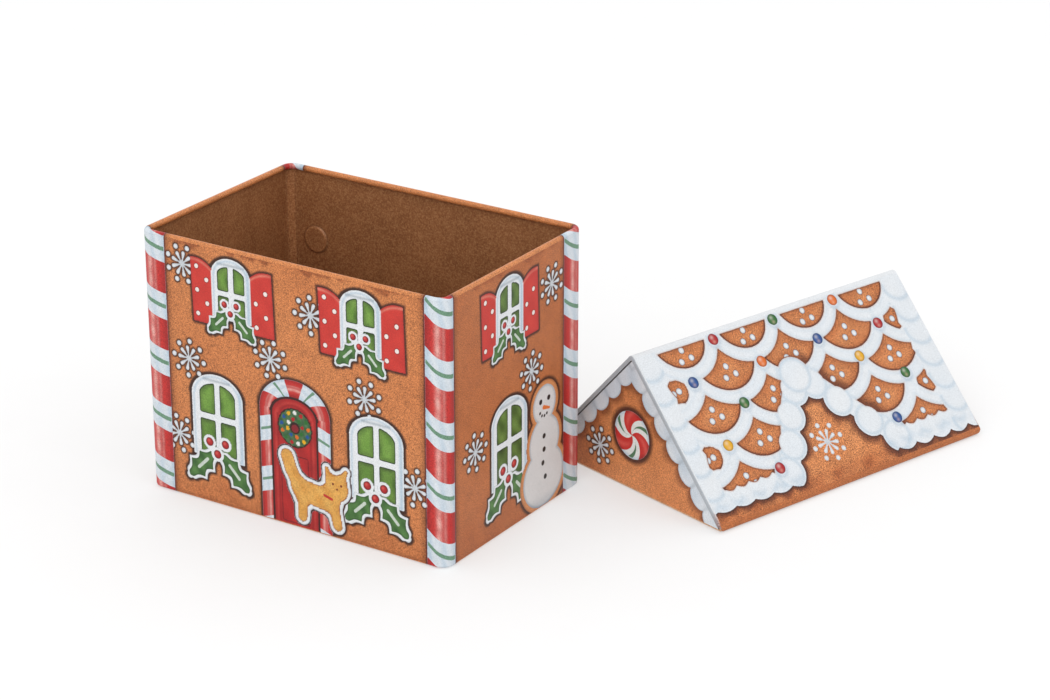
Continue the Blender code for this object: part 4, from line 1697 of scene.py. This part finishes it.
    def compose_slope(self, board: Artboard) -> None:
        """Iced roof: fish-scale tiles between piped bands, candy drops, a dormer and a scalloped eave.

        Args:
            board: the artboard.
        """
        u, s = board.u, board.v
        dormer, band, rims = self.dormer(u, s)
        side = 74.6 + 1.8 * wave(s, 15.0, 0.3) - np.abs(u + 1.8)
        eave = 74.0 + 1.6 * wave(u, 7.6) - s
        tiles, foot, shade = self.tiling(u, s)
        tiles = np.maximum.reduce([tiles, -band, -side, -eave])
        clear = (band > 0.0) & (side > 0.0)
        board.wash(0.75 * shade * clear, ICING_SHADE)
        board.wash(0.40 + 0.35 * drift(u, s, 6.0, 2.0), (226, 233, 240))
        for number in range(8):
            for end in (-1.0, 1.0):
                lobe = disc(u, s, (end * 83.0, 6.0 + 12.6 * number), 9.0)
                open_edge = (side < 0.6) * (s > 4.0 + 12.6 * number)
                board.wash(0.55 * bump_at(lobe, -0.6, 1.2) * open_edge, ICING_SHADE)
        puffed = 0.55 * bump_at(rims, 0.0, 1.0) * (band < 0.0) + 0.4 * bump_at(band, 0.6, 0.9)
        board.wash(puffed, ICING_SHADE)
        board.wash(0.5 * bump_at(eave, -6.5, 1.8) * wave(u + 2.0, 12.5), ICING_SHADE)
        self.bake_tiles(board, tiles, foot, band)
        self.drops_on_tiles(board, tiles)
        self.candies(board)
        self.bake_dormer(board, dormer)
        snowflake(board, (-5.6, 69.5), 1.06, 0.25)

    def tiling(self, u: Array, s: Array) -> tuple[Array, Array, Array]:
        """Fish scales: circles in staggered rows, each row cut by the piping that the row above leaves.

        Args:
            u, s: the places, along the ridge and down the slope.

        Returns:
            Distance to the tiles, nearness to a tile's foot, and strength of the piping's shade.
        """
        tiles = np.full_like(u, FAR)
        foot = np.zeros_like(u)
        shade = np.zeros_like(u)
        above: Array | None = None
        for middle, radius, stagger, ceiling in self.tile_rows():
            offset = u - self.tile_pitch * (np.round(u / self.tile_pitch - stagger) + stagger)
            circle = np.hypot(offset, s - middle) - radius
            neighbour = np.hypot(self.tile_pitch - np.abs(offset), s - middle) - radius
            outermost = np.abs(u - offset) > 1.9 * self.tile_pitch
            shape = np.maximum(circle, ceiling - s)
            scrap = disc(np.abs(u + 1.5), s, (72.5, middle + 10.5), 6.4) + 0.6 * wave(s + 2.0 * u, 9.0)
            shape = np.where(outermost, np.maximum(shape, scrap), shape)
            if above is not None:
                shape = np.maximum(shape, self.piping - above)
            foot = np.maximum(foot, ease(-1.8, -0.2, circle) * (shape < 0.3))
            tiles = np.minimum(tiles, shape)
            shade += 0.55 * bump_at(circle, self.piping - 1.0, 0.9) * (s > middle)
            shade += 0.35 * bump_at(circle, 1.6, 0.8) * (s > middle)
            above = np.minimum(circle, neighbour)
        return tiles, foot, shade

    def bake_tiles(self, board: Artboard, tiles: Array, foot: Array, band: Array) -> None:
        """Lay the tiles down, browned round their edges, at their feet and beside the dormer's band.

        Args:
            board: the artboard.
            tiles: signed distance to the tiles.
            foot: nearness to a tile's foot, 0 to 1.
            band: distance to the dormer's band.
        """
        u, s = board.u, board.v
        board.outline(tiles, 0.05, (206, 186, 176), 0.7, 0.8)
        bake = blend(GINGERBREAD, GINGERBREAD_PALE, 0.4 + 0.4 * drift(u, s, 4.2, 0.0))
        lower_left = foot * ease(4.0, -8.0, u - self.tile_pitch * np.round(u / self.tile_pitch))
        bake = blend(bake, GINGERBREAD_DARK, 0.12 + 0.35 * ease(-5.0, -1.0, tiles) + 0.25 * lower_left)
        bake = blend(bake, CRUST, 0.85 * ease(7.0, 1.0, band) * ease(-2.0, 6.0, u))
        browned = (0.6 + 0.4 * foot) * ease(-1.3, -0.3, tiles) + 0.4 * ease(-3.4, -1.0, tiles) * foot
        board.paint(Layer.SHAPE, tiles, blend(bake, CRUST, browned), grain=1.4)

    def bake_dormer(self, board: Artboard, dormer: Array) -> None:
        """Lay the dormer's gingerbread and the scalloped strip along the eave, with a dark crust.

        Args:
            board: the artboard.
            dormer: signed distance to the dormer's field.
        """
        u, s = board.u, board.v
        tilt = u / self.half_length
        scallop = (2.1 + 0.7 * tilt) * wave(u + 2.0, 12.0) ** 0.8
        strip = 83.8 + 1.2 * tilt + scallop - s
        field = np.minimum(dormer, strip)
        clay = blend(GINGERBREAD, GINGERBREAD_PALE, 0.3 + 0.4 * drift(u, s, 7.0, 3.0))
        clay = blend(clay, GINGERBREAD_DARK, (0.5 + 0.3 * drift(u, s, 3.0, 1.0)) * ease(-2.0, 3.0, s - 82.0))
        crust = 3.0 + 1.2 * drift(u, s, 2.4, 0.5) + 1.2 * (u > 2.0)
        clay = blend(clay, CRUST, 0.92 * ease(1.4, 0.3, -field / crust))
        clay = blend(clay, (70, 34, 22), 0.8 * ease(-1.3, -0.4, field))
        board.paint(Layer.SHAPE, field, clay, grain=1.6)

    def drops_on_tiles(self, board: Artboard, tiles: Array) -> None:
        """Three icing drops on each tile, cut at its edge, and one on the scraps at two rows' ends.

        Args:
            board: the artboard.
            tiles: signed distance to the tiles.
        """
        u, s = board.u, board.v
        for number, (middle, _, stagger, _) in enumerate(self.tile_rows()):
            level = middle + (10.8 if number == 0 else 10.6)
            offset = u - self.tile_pitch * (np.round(u / self.tile_pitch - stagger) + stagger)
            for across, down in ((-3.6, 1.0), (3.0, 0.4), (-0.6, -4.4)):
                drop = np.hypot((offset - across) / 0.95, s - level - down) - 1.62
                icing_drop(board, np.maximum(drop, tiles + 0.35))
            if number in (1, 3):
                icing_drop(board, disc(np.abs(u + 1.5), s, (71.8, middle + 10.4), 1.62))

    def candies(self, board: Artboard) -> None:
        """Glossy candy drops set where the piped bands meet.

        Args:
            board: the artboard.
        """
        spots = {"red": [(-39.8, 3.9), (60.3, 22.3), (-39.8, 73.4)],
                 "green": [(-0.4, 3.8), (-40.8, 38.0), (61.0, 50.3)],
                 "orange": [(40.4, 3.9), (-19.0, 21.7)],
                 "blue": [(-63.0, 20.8), (19.8, 20.0), (42.0, 70.0)],
                 "yellow": [(39.0, 35.0), (-61.8, 54.7)]}
        for shade, places in spots.items():
            for spot in places:
                candy(board, spot, CANDIES[shade])

    def gable_line(self, across: Array, inset: float) -> Array:
        """Height of the gable's sloping edge drawn in by a distance, its peak rounded like a hyperbola."""
        drawn = inset / math.cos(self.pitch)
        return self.apex - drawn - math.tan(self.pitch) * np.sqrt(across ** 2 + 1.6 ** 2)

    def build_gable_print(self, end: float, material: bpy.types.Material) -> bpy.types.Object:
        """Thin printed skin over a gable's flat face: columns across it, each running up to the slope.

        Args:
            end: -1 for the near gable, 1 for the far one.
            material: the print.

        Returns:
            The piece.
        """
        face = self.half_length - self.gable_inset
        margin = self.gable_inset + self.gable_bend + 0.1
        reach = self.half_width - margin
        low = self.gable_bend + 0.3
        columns = round(2 * reach / self.grid) + 1
        rows = round(self.height / self.grid) + 1
        across = np.linspace(-reach, reach, columns)[:, None]
        high = self.gable_line(across, margin)
        up = low + (high - low) * np.linspace(0.0, 1.0, rows)[None, :]
        right = np.broadcast_to(across, up.shape)
        outer = self.place(end * (face + self.proud), end * right, up)
        inner = self.place(end * (face - self.proud / 3), end * right, up)
        points, faces = thin_sheet(outer, inner)
        name = "gable_print_near" if end < 0 else "gable_print_far"
        piece = new_piece(name, points * MM, faces, [material])
        board = Artboard(right, up, GINGERBREAD, 1.0)
        self.compose_gable(board)
        board.store(piece.data)
        return piece

    def compose_gable(self, board: Artboard) -> None:
        """Baked gable with scalloped icing down both slopes, a peppermint swirl and a snowflake.

        Args:
            board: the artboard.
        """
        u, z = board.u, board.v
        edge = (self.apex - np.abs(u) * math.tan(self.pitch) - z) * math.cos(self.pitch)
        run = (np.abs(u) * math.cos(self.pitch) + (self.apex - z) * math.sin(self.pitch)) - 6.0
        icing = edge - 6.2 - 3.9 * np.sqrt(np.clip(wave(run, 12.4), 0.0, 1.0))
        board.wash(0.3 + 0.3 * drift(u, z, 14.0, 0.7), GINGERBREAD_PALE)
        board.wash(0.75 * ease(5.5, 0.0, icing), CRUST)
        board.wash(0.35 * ease(0.0, 6.0, -u - 16.0), GINGERBREAD_DARK)
        white = blend(ICING, ICING_GREY, 0.5 * ease(-1.1, -0.1, icing))
        white = blend(white, ICING_SHADE, 0.35 + 0.3 * drift(u, z, 4.0, 2.0))
        white = blend(white, ICING_GREY, 0.35 * bump_at(wave(run, 12.4), 0.0, 0.25))
        board.paint(Layer.SHAPE, icing, white)
        board.paint(Layer.TOP, edge - self.band_depth - 0.55, (70, 64, 62))
        self.swirl(board, (0.7, 28.2), 12.0)
        snowflake(board, (-21.8, 15.6), 0.98, 0.3)

    def swirl(self, board: Artboard, centre: Spot, radius: float) -> None:
        """Peppermint: spiral arms of red on white, turned more toward the middle, with green between.

        Args:
            board: the artboard.
            centre: its middle.
            radius: its radius.
        """
        u, z = board.u, board.v
        sweet = disc(u, z, centre, radius)
        board.outline(sweet, 0.9, (70, 34, 24), 0.95, 3.0)
        reach = np.hypot(u - centre[0], z - centre[1])
        angle = np.arctan2(z - centre[1], u - centre[0]) + 1.15 * (reach / radius) - 0.5
        sector = 2 * math.pi / 3
        folded = angle - sector * np.round(angle / sector)
        board.paint(Layer.SHAPE, sweet, blend((232, 236, 232), ICING_SHADE, 0.7 * ease(-2.4, -0.2, sweet)))
        arm = reach * (np.abs(folded) - 0.53)
        red = blend(CANE_RED, CANE_RED_DARK, 0.7 * ease(-2.0, -0.2, sweet))
        red = blend(red, (236, 110, 96), 0.5 * bump_at(folded, 0.1, 0.2) * ease(2.0, 8.0, reach))
        board.paint(Layer.DETAIL, np.maximum(arm, sweet), red)
        between = angle - sector / 2 - sector * np.round((angle - sector / 2) / sector)
        green = reach * (np.abs(between) - 0.13 * np.clip(reach / radius * 1.4 - 0.1, 0.0, 1.0))
        board.paint(Layer.DETAIL, np.maximum(green, sweet + 0.4), (86, 124, 92))

    def build(self) -> list[bpy.types.Object]:
        """Make every piece of the lid, hang each on the lid's body and dress the gable panels.

        Returns:
            The new pieces.
        """
        roof = ROOF_PRINT.make()
        gable = BRIGHTENED_GABLE_PRINT.make()
        lacquer = LID_LACQUER.make()
        shell = self.build_shell(roof, lacquer)
        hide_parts("roof_sheet")
        slopes = [self.build_slope(True, roof), self.build_slope(False, roof)]
        gables = [self.build_gable_print(-1.0, gable), self.build_gable_print(1.0, gable)]
        edge = GABLE_EDGE.make()
        for node in ("gable_panel_near", "gable_panel_far"):
            dress(node, edge)
        for piece in [shell] + slopes + gables:
            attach(piece, "lid")
            LOG.info("%s: %d faces", piece.name, len(piece.data.polygons))
        return [shell] + slopes + gables


# ---------------------------------------------------------------------------------------------------
# Studio
# ---------------------------------------------------------------------------------------------------

@dataclass
class Studio:
    """Pale floor, soft lights and the camera."""

    camera_place: Point = (0.7873, -1.0768, 0.6135)
    camera_target: Point = (-0.0275, 0.1812, 0.0)
    lens: float = 105.16
    floor_reach: float = 8.0
    floor_level: float = -0.0004
    sky: float = 1.2

    def aim(self, thing: bpy.types.Object, place: Point, target: Point) -> None:
        """Put a camera or light at a place and point it at a target with no roll.

        Args:
            thing: the camera or light.
            place: where it stands.
            target: what it faces.
        """
        thing.location = place
        thing.rotation_euler = (Vector(target) - Vector(place)).to_track_quat("-Z", "Y").to_euler()

    def add_light(self, name: str, place: Point, power: float, size: float) -> None:
        """Add a soft square light facing the tin.

        Args:
            name: its name.
            place: where it hangs.
            power: its power in watts.
            size: its side in metres.
        """
        data = bpy.data.lights.new(name, "AREA")
        data.energy = power
        data.size = size
        lamp = bpy.data.objects.new(name, data)
        bpy.context.scene.collection.objects.link(lamp)
        self.aim(lamp, place, (0.05, 0.03, 0.05))

    def build(self) -> None:
        """Lay the floor, hang the lights, set the sky and stand the camera."""
        reach = self.floor_reach
        corners = [(-reach, -reach), (reach, -reach), (reach, reach), (-reach, reach)]
        points = np.array([(x, y, self.floor_level) for x, y in corners])
        floor = new_piece("studio_floor", points, [[0, 1, 2, 3]], [STUDIO_CARD.make()])
        self.add_light("key", (0.5, -1.9, 1.4), 13.4, 1.5)
        self.add_light("fill", (1.7, 0.1, 1.3), 2.6, 1.2)
        world = bpy.data.worlds.new("soft_sky")
        world.use_nodes = True
        world.node_tree.nodes["Background"].inputs["Color"].default_value = (1.0, 1.0, 1.0, 1.0)
        world.node_tree.nodes["Background"].inputs["Strength"].default_value = self.sky
        bpy.context.scene.world = world
        bpy.context.scene.view_settings.view_transform = "Standard"
        data = bpy.data.cameras.new("camera")
        data.lens = self.lens
        data.sensor_width = 36.0
        data.clip_end = 50.0
        camera = bpy.data.objects.new("camera", data)
        bpy.context.scene.collection.objects.link(camera)
        self.aim(camera, self.camera_place, self.camera_target)
        bpy.context.scene.camera = camera


def main() -> None:
    """Build the studio, the box and the lid."""
    logging.basicConfig(level=logging.INFO, format="%(message)s")
    Studio().build()
    TinBox().build()
    RoofLid().build()


if __name__ == "__main__":
    main()
